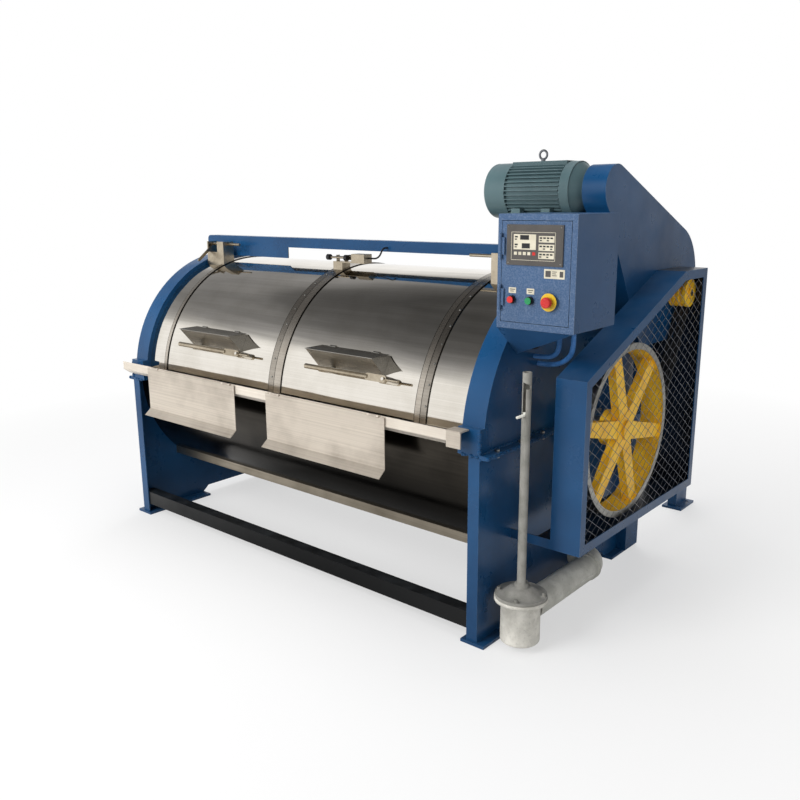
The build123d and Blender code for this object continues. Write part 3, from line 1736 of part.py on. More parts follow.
panel_left = mid_x + 1176.0
panel_width = 224.0
panel_top = 1605.0
panel_height = 139.0
panel_wall = 5.0
plate_left = mid_x + 1328.0
plate_width = 80.0
plate_top = 1457.0
plate_height = 32.0
plate_thickness = 1.0
label_width = 30.0
label_height = 20.0
with BuildPart() as control_panel:
    block(
        panel_left,
        panel_left + panel_width,
        box_front - panel_wall,
        box_front,
        panel_top - panel_height,
        panel_top,
    )
    block(
        plate_left,
        plate_left + plate_width,
        box_front - plate_thickness,
        box_front,
        plate_top - plate_height,
        plate_top,
    )
    label_bottom = button_z + 2 * button_radius
    for label_x in (stop_x, start_x):
        block(
            label_x - label_width / 2,
            label_x + label_width / 2,
            box_front - plate_thickness,
            box_front,
            label_bottom,
            label_bottom + label_height,
        )
finish(control_panel, "control_panel")

# Push buttons and the emergency stop, each a plunger in its collar
collar_radius = 14.5
collar_height = 10.0
collar_depth = 24.0
cap_radius = 12.0
stem_radius = 7.5
emergency_plate_radius = 31.0
emergency_plate_wall = 2.0
mushroom_radius = 19.0
mushroom_height = 16.0
mushroom_stand = 16.0
with BuildPart() as button_collars:
    for button_x in (stop_x, start_x, emergency_x):
        with BuildSketch(Plane.XZ.offset(-box_front)):
            with Locations((button_x, button_z)):
                Circle(collar_radius)
        extrude(amount=collar_height)
        with BuildSketch(Plane.XZ.offset(-(box_front + collar_depth))):
            with Locations((button_x, button_z)):
                Circle(button_radius)
        extrude(amount=collar_depth)
        with BuildSketch(Plane.XZ.offset(-(box_front + collar_depth + overrun))):
            with Locations((button_x, button_z)):
                Circle(stem_radius + shaft_clearance)
        extrude(amount=2 * overrun + collar_depth + collar_height, mode=Mode.SUBTRACT)
    with BuildSketch(Plane.XZ.offset(-(box_front - collar_height))):
        with Locations((emergency_x, button_z)):
            Circle(emergency_plate_radius)
            Circle(stem_radius + running_gap, mode=Mode.SUBTRACT)
    extrude(amount=emergency_plate_wall)
finish(button_collars, "button_collars")

button_travel = 4.0
for name, button_x in (("stop_button", stop_x), ("start_button", start_x)):
    with BuildPart() as button:
        with BuildSketch(Plane.XZ.offset(-(box_front + collar_depth))):
            with Locations((button_x, button_z)):
                Circle(stem_radius)
        extrude(amount=collar_depth + collar_height + running_gap)
        with BuildSketch(Plane.XZ.offset(-(box_front - collar_height - button_travel - running_gap))):
            with Locations((button_x, button_z)):
                Circle(cap_radius)
        extrude(amount=button_travel)
        with BuildSketch(Plane.XZ.offset(-(box_front - collar_height))):
            with Locations((button_x, button_z)):
                Circle(stem_radius)
        extrude(amount=button_travel + running_gap)
    finish(button, name)


with BuildPart() as emergency_button:
    plate_front = box_front - collar_height - emergency_plate_wall
    with BuildSketch(Plane.XZ.offset(-(box_front + collar_depth))):
        with Locations((emergency_x, button_z)):
            Circle(stem_radius)
    extrude(amount=collar_depth + collar_height + mushroom_stand)
    with BuildSketch(Plane.XZ.offset(-(plate_front - 2 * button_travel))):
        with Locations((emergency_x, button_z)):
            Circle(mushroom_radius)
    extrude(amount=mushroom_height)
    fillet(edges().filter_by(GeomType.CIRCLE).sort_by(Axis.Y)[0], radius=mushroom_height / 3)
finish(emergency_button, "emergency_button")

# Contactors on a rail inside the box
rail_setback = 40.0
contactor_width = 45.0
contactor_height = 80.0
contactor_depth = 70.0
contactor_count = 4
with BuildPart() as switchgear:
    board_face = box_back - box_wall - gap
    block(
        box_left + rail_setback / 2,
        box_right - rail_setback / 2,
        board_face - box_wall,
        board_face,
        box_bottom + rail_setback,
        box_top - rail_setback,
    )
    for place in range(contactor_count):
        contactor_x = box_left + rail_setback + place * (contactor_width + door_gap)
        block(
            contactor_x,
            contactor_x + contactor_width,
            board_face - box_wall - contactor_depth,
            board_face - box_wall,
            box_bottom + box_height / 2,
            box_bottom + box_height / 2 + contactor_height,
        )
finish(switchgear, "switchgear")

# Drain valve: a cast pot with a bolted cover, a riser tube with a hooked slot, and the lifting stem
pot_x = mid_x + 1260.0
pot_y = front_y + 115.0
pot_radius = 77.0
pot_wall = 9.0
pot_bottom = 25.0
pot_flange_radius = 103.0
pot_flange_bottom = 196.0
pot_flange_wall = 14.0
outlet_bore = 45.0
outlet_length = 40.0
with BuildPart() as drain_pot:
    with BuildSketch(Plane.XY.offset(pot_bottom)):
        with Locations((pot_x, pot_y)):
            Circle(pot_radius)
    extrude(amount=pot_flange_bottom - pot_bottom)
    fillet(edges().filter_by(GeomType.CIRCLE).sort_by(Axis.Z)[0], radius=pot_wall)
    with BuildSketch(Plane.XY.offset(pot_flange_bottom)):
        with Locations((pot_x, pot_y)):
            Circle(pot_flange_radius)
    extrude(amount=pot_flange_wall)
    with BuildSketch(Plane.XY.offset(pot_bottom + outlet_length)):
        with Locations((pot_x, pot_y)):
            Circle(pot_radius - pot_wall)
    extrude(amount=pot_flange_bottom, mode=Mode.SUBTRACT)
    with BuildSketch(Plane.XY.offset(0)):
        with Locations((pot_x, pot_y)):
            Circle(outlet_bore)
    extrude(amount=pot_flange_bottom, mode=Mode.SUBTRACT)
    with BuildSketch(Plane.XZ.offset(-pot_y)):
        with Locations((pot_x, drain_pipe_height)):
            Circle(drain_pipe_radius - drain_pipe_wall)
    extrude(amount=-2 * pot_radius, mode=Mode.SUBTRACT)
finish(drain_pot, "drain_pot")

riser_radius = 17.0
riser_wall = 3.0
riser_top = 1085.0
cover_plate_wall = 12.0
cover_dome_radius = 74.0
cover_dome_height = 26.0
riser_socket_radius = 26.0
riser_socket_height = 14.0
slot_width = 13.0
slot_bottom = 922.0
slot_top = 1050.0
slot_hook = 20.0
stem_rod_radius = 10.0
stem_clearance = 0.1
valve_bolt_radius = 7.0
valve_bolt_height = 10.0
with BuildPart() as drain_cover:
    cover_z = pot_flange_bottom + pot_flange_wall
    with BuildSketch(Plane.XY.offset(cover_z)):
        with Locations((pot_x, pot_y)):
            Circle(pot_flange_radius - pot_wall / 3)
    extrude(amount=cover_plate_wall)
    with BuildSketch(Plane.XY.offset(cover_z + cover_plate_wall)):
        with Locations((pot_x, pot_y)):
            Circle(cover_dome_radius)
    extrude(amount=cover_dome_height, taper=52)
    with BuildSketch(Plane.XY.offset(cover_z + cover_plate_wall)):
        with Locations((pot_x, pot_y)):
            Circle(riser_socket_radius)
    extrude(amount=cover_dome_height + riser_socket_height)
    with BuildSketch(Plane.XY.offset(cover_z + cover_plate_wall)):
        with Locations((pot_x, pot_y)):
            Circle(riser_radius)
    extrude(amount=riser_top - cover_z - cover_plate_wall)
    with BuildSketch(Plane.XY.offset(cover_z - overrun)):
        with Locations((pot_x, pot_y)):
            Circle(riser_radius - riser_wall)
    extrude(amount=riser_top, mode=Mode.SUBTRACT)
    with BuildSketch(Plane.XZ.offset(-pot_y)):
        with BuildLine():
            Polyline(
                (pot_x - slot_width / 2, slot_bottom),
                (pot_x + slot_width / 2, slot_bottom),
                (pot_x + slot_width / 2, slot_top - 2 * slot_width),
                (pot_x + slot_width / 2 + slot_hook, slot_top - 2 * slot_width),
                (pot_x + slot_width / 2 + slot_hook, slot_top - slot_width),
                (pot_x - slot_width / 2, slot_top),
                close=True,
            )
        make_face()
    extrude(amount=2 * riser_radius, mode=Mode.SUBTRACT)
    with BuildSketch(Plane.XY.offset(cover_z + cover_plate_wall)):
        with Locations((pot_x, pot_y)):
            with PolarLocations((pot_flange_radius + cover_dome_radius) / 2, 4, start_angle=20):
                RegularPolygon(valve_bolt_radius, 6)
    extrude(amount=valve_bolt_height)
finish(drain_cover, "drain_cover")

plug_radius = 54.0
plug_wall = 12.0
pin_radius = 5.0
pin_reach = 62.0
with BuildPart() as drain_stem:
    plug_z = pot_bottom + outlet_length + gap
    with BuildSketch(Plane.XY.offset(plug_z)):
        with Locations((pot_x, pot_y)):
            Circle(plug_radius)
    extrude(amount=plug_wall)
    pin_z = slot_bottom + pin_radius + gap
    with BuildSketch(Plane.XY.offset(plug_z)):
        with Locations((pot_x, pot_y)):
            Circle(stem_rod_radius)
    extrude(amount=pin_z + 2 * pin_radius - plug_z)
    with BuildSketch(Plane.XY.offset(cover_z - 2 * overrun)):
        with Locations((pot_x, pot_y)):
            Circle(riser_radius - riser_wall - stem_clearance)
    extrude(amount=overrun / 2)
    with BuildSketch(Plane.XY.offset(pin_z - 2 * overrun)):
        with Locations((pot_x, pot_y)):
            Circle(riser_radius - riser_wall - stem_clearance)
    extrude(amount=2 * overrun + 2 * pin_radius)
    with BuildSketch(Plane.XZ.offset(-pot_y)):
        with Locations((pot_x, pin_z)):
            Circle(pin_radius)
    extrude(amount=pin_reach)
finish(drain_stem, "drain_stem")

# Drain pipe: back from the pot, through the right web and up to the sump
bend_radius = 100.0
bead_radius = drain_pipe_radius + 4.0
bead_width = 8.0
with BuildPart() as drain_pipe:
    pipe_start = pot_y + math.sqrt(pot_radius**2 - (drain_pipe_radius / 2) ** 2)
    turn_y = front_y + drain_turn_setback
    route = [
        (pot_x, pipe_start, drain_pipe_height),
        (pot_x, turn_y, drain_pipe_height),
        (right_web_x, turn_y, drain_pipe_height),
    ]
    with BuildLine():
        FilletPolyline(*route, radius=bend_radius)
    with BuildSketch(Plane(origin=route[0], x_dir=(1, 0, 0), z_dir=(0, 1, 0))):
        Circle(drain_pipe_radius)
        Circle(drain_pipe_radius - drain_pipe_wall, mode=Mode.SUBTRACT)
    sweep()
    for bead_y in (turn_y - bend_radius - 2 * bead_width, turn_y - bend_radius + bead_width):
        with BuildSketch(Plane(origin=(pot_x, bead_y, drain_pipe_height), x_dir=(1, 0, 0), z_dir=(0, 1, 0))):
            Circle(bead_radius)
            Circle(drain_pipe_radius - drain_pipe_wall / 2, mode=Mode.SUBTRACT)
        extrude(amount=bead_width)
    with BuildSketch(Plane.XY.offset(pot_bottom)):
        with Locations((pot_x, pot_y)):
            Circle(pot_radius + gap)
    extrude(amount=pot_flange_bottom, mode=Mode.SUBTRACT)
finish(drain_pipe, "drain_pipe")

# Stay bolts on brackets near the drum's top: a rod that slides along X, with a bent lever
stay_setback = 485.0
stay_height = 1463.0
stay_rod_radius = 7.0
stay_front = 450.0
stay_depth = 70.0
stay_wall = 3.0
stay_travel = 60.0
stay_overhang = 8.0
stay_notch_depth = 42.0
lever_wall = 8.0
lever_width = 14.0
lever_length = 150.0
lever_lean = 52.0
lever_margin = 5.0
stay_bracket_width = 140.0
left_stay_inset = 114.0
right_stay_inset = 131.0
left_rod_reach = 98.0
right_rod_reach = 131.0
left_stay_x = left_web_x + left_stay_inset
right_stay_x = right_web_x - right_stay_inset
stay_places = {
    "left": (
        left_stay_x,
        left_stay_x + stay_bracket_width,
        1,
        left_stay_x + stay_bracket_width + left_rod_reach,
    ),
    "right": (
        right_stay_x - stay_bracket_width,
        right_stay_x,
        -1,
        right_stay_x - stay_bracket_width - right_rod_reach,
    ),
}
stay_y = front_y + stay_setback
stay_top = stay_height + 2 * stay_rod_radius


def stay_lever_x(bracket_left, bracket_right, toward):
    """Give the X of the lever's outer face on a stay bolt at rest."""
    wall_x = bracket_left if toward > 0 else bracket_right
    return wall_x + toward * (stay_wall + 2 * lever_margin)


with BuildPart() as stay_brackets:
    for bracket_left, bracket_right, toward, tip_x in stay_places.values():
        block(
            bracket_left,
            bracket_right,
            front_y + stay_front,
            front_y + stay_front + stay_depth,
            drum_z + shell_radius / 2,
            stay_top,
        )
        block(
            bracket_left + stay_wall,
            bracket_right - stay_wall,
            front_y + stay_front + stay_wall,
            front_y + stay_front + stay_depth + overrun,
            drum_z,
            stay_top + overrun,
            Mode.SUBTRACT,
        )
        lever_x = stay_lever_x(bracket_left, bracket_right, toward)
        block(
            lever_x - toward * lever_margin,
            lever_x + toward * (stay_travel + lever_wall + lever_margin),
            front_y + stay_front - overrun,
            front_y + stay_front + overrun,
            stay_top - 2 * stay_rod_radius - stay_notch_depth,
            stay_top + overrun,
            Mode.SUBTRACT,
        )
        tube(
            bracket_left - overrun,
            bracket_right + overrun,
            stay_rod_radius + shaft_clearance,
            0,
            stay_y,
            stay_height,
            Mode.SUBTRACT,
        )
    cap_outer = cap_inner + rail_cap_wall
    tube(left_web_x, right_web_x, shell_seat, 0, drum_y, drum_z, Mode.SUBTRACT)
    tube(left_rail_left - gap, left_rail_right + overrun, cap_outer + gap, 0, drum_y, drum_z, Mode.SUBTRACT)
finish(stay_brackets, "stay_brackets")

for word, (bracket_left, bracket_right, toward, tip_x) in stay_places.items():
    outer_x = bracket_left - stay_overhang if toward > 0 else bracket_right + stay_overhang
    with BuildPart() as stay_bolt:
        tube(outer_x, tip_x, stay_rod_radius, 0, stay_y, stay_height)
        lean = math.radians(lever_lean)
        lever_plane = Plane(
            origin=(stay_lever_x(bracket_left, bracket_right, toward), stay_y, stay_height),
            x_dir=(0, -math.sin(lean), -math.cos(lean)),
            z_dir=(toward, 0, 0),
        )
        with BuildSketch(lever_plane):
            with Locations((lever_length / 2 - lever_width / 2, 0)):
                SlotOverall(lever_length, lever_width)
        extrude(amount=lever_wall)
    finish(stay_bolt, f"{word}_stay_bolt")

# Door interlock on the centre rail: a pedestal with a switch box, and a rocking arm with two rollers
pedestal_left = mid_x - 75.0
pedestal_right = mid_x - 15.0
pedestal_front = front_y + 480.0
pedestal_back = front_y + 535.0
pedestal_top = 1400.0
pedestal_plate_right = mid_x + 130.0
switch_left = mid_x + 45.0
switch_right = mid_x + 128.0
switch_height = 38.0
arm_pin_radius = 5.0
arm_pin_y = front_y + 512.0
arm_pin_z = 1424.0
ear_wall = 5.0
with BuildPart() as interlock_switch:
    block(pedestal_left, pedestal_right, pedestal_front, pedestal_back, drum_z + shell_radius / 2, pedestal_top)
    tube(left_web_x, right_web_x, cap_inner + rail_cap_wall + gap, 0, drum_y, drum_z, Mode.SUBTRACT)
    block(
        pedestal_left,
        pedestal_plate_right,
        pedestal_front,
        pedestal_back,
        pedestal_top,
        pedestal_top + ear_wall,
    )
    for ear_x in (pedestal_left, pedestal_right - ear_wall):
        block(
            ear_x,
            ear_x + ear_wall,
            arm_pin_y - 2 * arm_pin_radius,
            arm_pin_y + 2 * arm_pin_radius,
            pedestal_top,
            arm_pin_z + 2 * arm_pin_radius,
        )
    tube(
        pedestal_left - overrun,
        pedestal_right + overrun,
        arm_pin_radius + shaft_clearance,
        0,
        arm_pin_y,
        arm_pin_z,
        Mode.SUBTRACT,
    )
    block(
        switch_left,
        switch_right,
        pedestal_front,
        pedestal_back,
        pedestal_top + ear_wall,
        pedestal_top + ear_wall + switch_height,
    )
    tube(
        pedestal_right + ear_wall + running_gap + 2 * arm_pin_radius,
        switch_left,
        switch_height / 3,
        0,
        arm_pin_y,
        arm_pin_z,
    )
finish(interlock_switch, "interlock_switch")

roller_radius = 14.0
roller_width = 18.0
arm_reach = 26.0
arm_half = 58.0
arm_x = mid_x - 45.0
with BuildPart() as interlock_arm:
    arm_left = pedestal_left + ear_wall + running_gap
    arm_right = pedestal_right - ear_wall - running_gap
    tube(pedestal_left - ear_wall, pedestal_right + ear_wall, arm_pin_radius, 0, arm_pin_y, arm_pin_z)
    block(
        arm_left,
        arm_right,
        arm_pin_y - arm_reach - arm_pin_radius,
        arm_pin_y,
        arm_pin_z - arm_pin_radius,
        arm_pin_z + arm_pin_radius,
    )
    roller_y = arm_pin_y - arm_reach - arm_pin_radius
    tube(arm_x - arm_half - roller_width / 2, arm_x + arm_half + roller_width / 2, arm_pin_radius, 0, roller_y, arm_pin_z)
    for roller_side in (-1, 1):
        roller_x = arm_x + roller_side * arm_half
        tube(
            roller_x - roller_width / 2,
            roller_x + roller_width / 2,
            roller_radius,
            0,
            roller_y,
            arm_pin_z,
        )
finish(interlock_arm, "interlock_arm")

# Cables: corrugated conduits from the box to the right web, and the switch cable to the beam


def cord(points, diameter):
    """Sweep a round cord along straight runs joined by tangent arcs, and print its radii."""
    vectors = [Vector(*point) for point in points]
    radii = []
    for before, here, after in zip(vectors, vectors[1:], vectors[2:]):
        turn = math.radians((here - before).get_angle(after - here))
        shorter = min((here - before).length, (after - here).length)
        radii.append(0.45 * shorter / math.tan(turn / 2))
    with BuildLine() as route_line:
        FilletPolyline(*points, radius=radii)
    first_run = (vectors[1] - vectors[0]).normalized()
    with BuildSketch(Plane(origin=points[0], z_dir=first_run)) as section:
        Circle(diameter / 2)
    sweep(section.sketch, path=route_line.wires()[0])
    length = route_line.wires()[0].length
    print("cord length", round(length), "least radius in diameters", round(min(radii) / diameter, 1))
    return length * math.pi * diameter**2 / 4


conduit_diameter = 20.0
front_conduit_points = [
    (mid_x + 1352, front_y + 276, box_bottom),
    (mid_x + 1352, front_y + 276, box_bottom - 60),
    (mid_x + 1334, front_y + 302, box_bottom - 106),
    (mid_x + 1288, front_y + 344, box_bottom - 144),
    (mid_x + 1236, front_y + 378, box_bottom - 170),
    (mid_x + 1186, front_y + 390, box_bottom - 180),
    (right_web_x, front_y + 390, box_bottom - 180),
]
rear_conduit_points = [
    (mid_x + 1286, front_y + 290, box_bottom),
    (mid_x + 1286, front_y + 290, box_bottom - 50),
    (mid_x + 1272, front_y + 314, box_bottom - 98),
    (mid_x + 1236, front_y + 346, box_bottom - 134),
    (mid_x + 1186, front_y + 360, box_bottom - 146),
    (right_web_x, front_y + 360, box_bottom - 146),
]
signal_diameter = 8.0
signal_points = [
    (mid_x + 1226, front_y + 262, box_bottom),
    (mid_x + 1226, front_y + 262, box_bottom - 44),
    (mid_x + 1216, front_y + 278, box_bottom - 82),
    (mid_x + 1182, front_y + 292, box_bottom - 104),
    (right_web_x, front_y + 292, box_bottom - 104),
]
switch_cable_points = [
    (switch_right, front_y + 515, pedestal_top + 24),
    (switch_right + 60, front_y + 515, pedestal_top + 24),
    (switch_right + 90, front_y + 515, pedestal_top + 74),
    (switch_right + 90, beam_y, pedestal_top + 74),
]

for name, routes, diameter in (
    ("conduits", (front_conduit_points, rear_conduit_points), conduit_diameter),
    ("cables", (signal_points, switch_cable_points), signal_diameter),
):
    with BuildPart() as cable:
        swept = 0
        for points in routes:
            swept += cord(points, diameter)
    print(name, "volume over section times length", round(cable.part.volume / swept, 3))
    finish(cable, name)
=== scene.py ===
"""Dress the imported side-loading washing machine for its portrait.

The CAD model comes in as a fixed frame. Every sub-assembly of the machine is a class
that builds its visible pieces and gives them the finish of the real material.
"""

import json
import logging
import math
from dataclasses import dataclass, field
from enum import Enum
from typing import Dict, Iterable, List, Optional, Sequence, Tuple, Union

import bmesh
import bpy
from mathutils import Matrix, Vector


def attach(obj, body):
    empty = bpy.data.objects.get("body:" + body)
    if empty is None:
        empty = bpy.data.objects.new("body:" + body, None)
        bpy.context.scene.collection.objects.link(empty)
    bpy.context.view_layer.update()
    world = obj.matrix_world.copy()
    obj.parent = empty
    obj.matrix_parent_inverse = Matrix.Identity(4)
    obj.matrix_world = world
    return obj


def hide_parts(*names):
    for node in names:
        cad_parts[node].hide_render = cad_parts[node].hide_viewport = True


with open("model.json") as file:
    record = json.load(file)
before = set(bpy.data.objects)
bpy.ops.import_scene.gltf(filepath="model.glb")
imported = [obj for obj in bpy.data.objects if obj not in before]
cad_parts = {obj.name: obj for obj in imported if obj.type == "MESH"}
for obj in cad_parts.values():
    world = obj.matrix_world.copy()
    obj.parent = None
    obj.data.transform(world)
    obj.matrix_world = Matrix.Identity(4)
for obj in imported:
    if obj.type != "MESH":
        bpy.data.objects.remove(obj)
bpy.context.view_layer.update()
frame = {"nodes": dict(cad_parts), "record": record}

log = logging.getLogger("washing_machine")

Socket = bpy.types.NodeSocket
Value = Union[float, Socket]
Paint = Union[str, Socket]

# The maker's drawing counts millimetres from the middle of the two end webs and from the
# front flange face. The frame counts metres from the middle of the whole machine.
DRAWING_ZERO = Vector((-0.119, -0.993875, 0.0))
DRUM_AXIS = (657.0, 775.0)


def at(x: float, y: float, z: float) -> Vector:
    """Turn a place on the maker's drawing, in millimetres, into the frame's metres."""
    return Vector((x, y, z)) / 1000.0 + DRAWING_ZERO


def linear(colour: str) -> Tuple[float, float, float, float]:
    """Turn an sRGB hex colour into the linear colour that a shader takes.

    Args:
        colour: An sRGB colour as #RRGGBB.

    Returns:
        The colour as linear red, green, blue and alpha.
    """
    parts = [int(colour.lstrip("#")[k:k + 2], 16) / 255.0 for k in (0, 2, 4)]
    curve = [c / 12.92 if c <= 0.04045 else ((c + 0.055) / 1.055) ** 2.4 for c in parts]
    return (curve[0], curve[1], curve[2], 1.0)


def add_node(
    tree: bpy.types.NodeTree,
    kind: str,
    settings: Optional[dict] = None,
    links: Optional[dict] = None,
) -> bpy.types.Node:
    """Add one node with its settings and its incoming links.

    Args:
        tree: The node tree that takes the node.
        kind: The node's type name.
        settings: Values by attribute name, or by socket name or number.
        links: Source sockets by the name or number of the socket they feed.

    Returns:
        The new node.
    """
    node = tree.nodes.new(kind)
    for key, value in (settings or {}).items():
        if isinstance(key, str) and hasattr(node, key):
            setattr(node, key, value)
        else:
            node.inputs[key].default_value = value
    for key, source in (links or {}).items():
        tree.links.new(source, node.inputs[key])
    return node


class Lay(Enum):
    """Which way the polishing marks of a metal sheet run."""

    ALONG_DRUM = (0.9, 160.0, 160.0)
    CAST = (60.0, 60.0, 60.0)


@dataclass(frozen=True)
class Finish:
    """A real material with the way its surface was made."""

    name: str
    slot: str

    def material(self) -> bpy.types.Material:
        """Give the finish's material, made once."""
        made = bpy.data.materials.get(self.name)
        if made is None:
            made = bpy.data.materials.new(self.name)
            made.use_nodes = True
            tree = made.node_tree
            tree.nodes.clear()
            shader = add_node(tree, "ShaderNodeBsdfPrincipled")
            add_node(tree, "ShaderNodeOutputMaterial", {}, {"Surface": shader.outputs[0]})
            self.shade(tree, shader)
        return made

    def shade(self, tree: bpy.types.NodeTree, shader: bpy.types.Node) -> None:
        """Wire the finish's pattern into the shader."""
        raise NotImplementedError

    def dress(self, piece: bpy.types.Object) -> None:
        """Put the finish on every material slot of a piece.

        Args:
            piece: The object to work on.
        """
        if not piece.data.materials:
            piece.data.materials.append(None)
        for place in piece.material_slots:
            place.material = self.material()


def cloud(tree: bpy.types.NodeTree, coordinate: Socket, size_mm: float, detail: float = 4.0) -> Socket:
    """Give a soft random field whose features have a real size.

    Args:
        tree: The material's node tree.
        coordinate: The socket with the place on the piece, in metres.
        size_mm: How large one feature is, in millimetres.
        detail: How many finer layers lie on top.

    Returns:
        The socket with the field's value.
    """
    noise = add_node(
        tree,
        "ShaderNodeTexNoise",
        {"Scale": 1000.0 / size_mm, "Detail": detail, "Roughness": 0.55},
        {"Vector": coordinate},
    )
    return noise.outputs["Fac"]


def remap(
    tree: bpy.types.NodeTree, value: Value, low: float, high: float, out_low: float, out_high: float
) -> Socket:
    """Stretch a value from one range to another, held at its ends.

    Args:
        tree: The node tree that takes the nodes.
        value: The value to map.
        low: The value that maps to out_low.
        high: The value that maps to out_high.
        out_low: The lowest result.
        out_high: The highest result.

    Returns:
        The socket of the result.
    """
    node = add_node(
        tree,
        "ShaderNodeMapRange",
        {1: low, 2: high, 3: out_low, 4: out_high},
        {0: value},
    )
    return node.outputs[0]


def blend_colours(tree: bpy.types.NodeTree, share: Socket, first: Paint, second: Paint) -> Socket:
    """Mix two colours, each a hex text or a socket, by a share or a socket.

    Args:
        tree: The node tree that takes the nodes.
        share: How much of the second colour shows, 0 to 1.
        first: The first input.
        second: The second input.

    Returns:
        The socket of the mixed colour.
    """
    node = add_node(tree, "ShaderNodeMix", {"data_type": "RGBA"})
    for number, part in ((0, share), (6, first), (7, second)):
        if isinstance(part, str):
            node.inputs[number].default_value = linear(part)
        elif isinstance(part, (int, float)):
            node.inputs[number].default_value = part
        else:
            tree.links.new(part, node.inputs[number])
    return node.outputs[2]


def combine(tree: bpy.types.NodeTree, operation: str, first: Value, second: Value) -> Socket:
    """Do arithmetic on two values, each a number or a socket.

    Args:
        tree: The node tree that takes the nodes.
        operation: The name of the calculation.
        first: The first input.
        second: The second input.

    Returns:
        The socket of the result.
    """
    node = add_node(tree, "ShaderNodeMath", {"operation": operation})
    for number, part in ((0, first), (1, second)):
        if isinstance(part, (int, float)):
            node.inputs[number].default_value = part
        else:
            tree.links.new(part, node.inputs[number])
    return node.outputs[0]


def distance(tree: bpy.types.NodeTree, first: Socket, second: Socket) -> Socket:
    """Find how far a point lies from an axis.

    Args:
        tree: The node tree that takes the nodes.
        first: The point's offset in one direction.
        second: Its offset in the other direction.

    Returns:
        The socket of the distance.
    """
    squares = combine(tree, "ADD", combine(tree, "MULTIPLY", first, first), combine(tree, "MULTIPLY", second, second))
    return combine(tree, "SQRT", squares, 0.0)


def edge_mask(tree: bpy.types.NodeTree, width_mm: float) -> Socket:
    """Find the strip along sharp edges, where a coat wears first.

    Args:
        tree: The node tree that takes the nodes.
        width_mm: The width of the rubbed band, in millimetres.

    Returns:
        The socket of the mask, 1 on the edges.
    """
    rounded = add_node(tree, "ShaderNodeBevel", {"samples": 4, "Radius": width_mm / 1000.0})
    flat = add_node(tree, "ShaderNodeNewGeometry")
    dot = add_node(
        tree,
        "ShaderNodeVectorMath",
        {"operation": "DOT_PRODUCT"},
        {0: rounded.outputs[0], 1: flat.outputs["Normal"]},
    )
    return remap(tree, dot.outputs["Value"], 0.80, 0.985, 1.0, 0.0)


@dataclass(frozen=True)
class Enamel(Finish):
    """Sprayed enamel: glossy, slightly pebbled, paler where its edges are rubbed."""

    colour: str
    shade_colour: str
    worn: str
    gloss: Tuple[float, float] = (0.24, 0.42)
    peel_mm: float = 9.0
    peel_depth: float = 0.00025
    wear_mm: float = 3.0
    wear: float = 0.38
    dust: float = 0.08

    def shade(self, tree: bpy.types.NodeTree, shader: bpy.types.Node) -> None:
        """Cloud the colour, rub the edges, lay dust on top faces and pebble the coat.

        Args:
            tree: The node tree that takes the nodes.
            shader: The shader that takes the look.
        """
        place = add_node(tree, "ShaderNodeTexCoord")
        here = place.outputs["Object"]
        broad = remap(tree, cloud(tree, here, 420.0), 0.35, 0.68, 0.0, 1.0)
        base = blend_colours(tree, broad, self.colour, self.shade_colour)
        scuffs = remap(tree, cloud(tree, here, 34.0, 6.0), 0.44, 0.66, 0.15, 1.0)
        rubbed = combine(tree, "MULTIPLY", edge_mask(tree, self.wear_mm), scuffs)
        rubbed = combine(tree, "MULTIPLY", rubbed, self.wear)
        base = blend_colours(tree, rubbed, base, self.worn)
        split = add_node(tree, "ShaderNodeSeparateXYZ", {}, {0: place.outputs["Normal"]})
        lying = remap(tree, split.outputs[2], 0.55, 0.95, 0.0, self.dust)
        settled = combine(tree, "MULTIPLY", lying, remap(tree, cloud(tree, here, 90.0), 0.35, 0.7, 0.2, 1.0))
        base = blend_colours(tree, settled, base, "#8E959C")
        tree.links.new(base, shader.inputs["Base Color"])
        dull = remap(tree, cloud(tree, here, 150.0, 5.0), 0.35, 0.65, self.gloss[0], self.gloss[1])
        dull = combine(tree, "ADD", dull, combine(tree, "MULTIPLY", settled, 0.6))
        tree.links.new(dull, shader.inputs["Roughness"])
        pebble = add_node(
            tree,
            "ShaderNodeBump",
            {"Strength": 0.6, "Distance": self.peel_depth},
            {"Height": self.relief(tree, here)},
        )
        tree.links.new(pebble.outputs[0], shader.inputs["Normal"])
        shader.inputs["IOR"].default_value = 1.45
        shader.inputs["Specular IOR Level"].default_value = 0.34
        shader.inputs["Coat Weight"].default_value = 0.10
        shader.inputs["Coat Roughness"].default_value = 0.12

    def relief(self, tree: bpy.types.NodeTree, here: Socket) -> Socket:
        """Give the height of the coat's orange peel, drawn at 9 mm so that it shows."""
        return cloud(tree, here, self.peel_mm, 2.0)


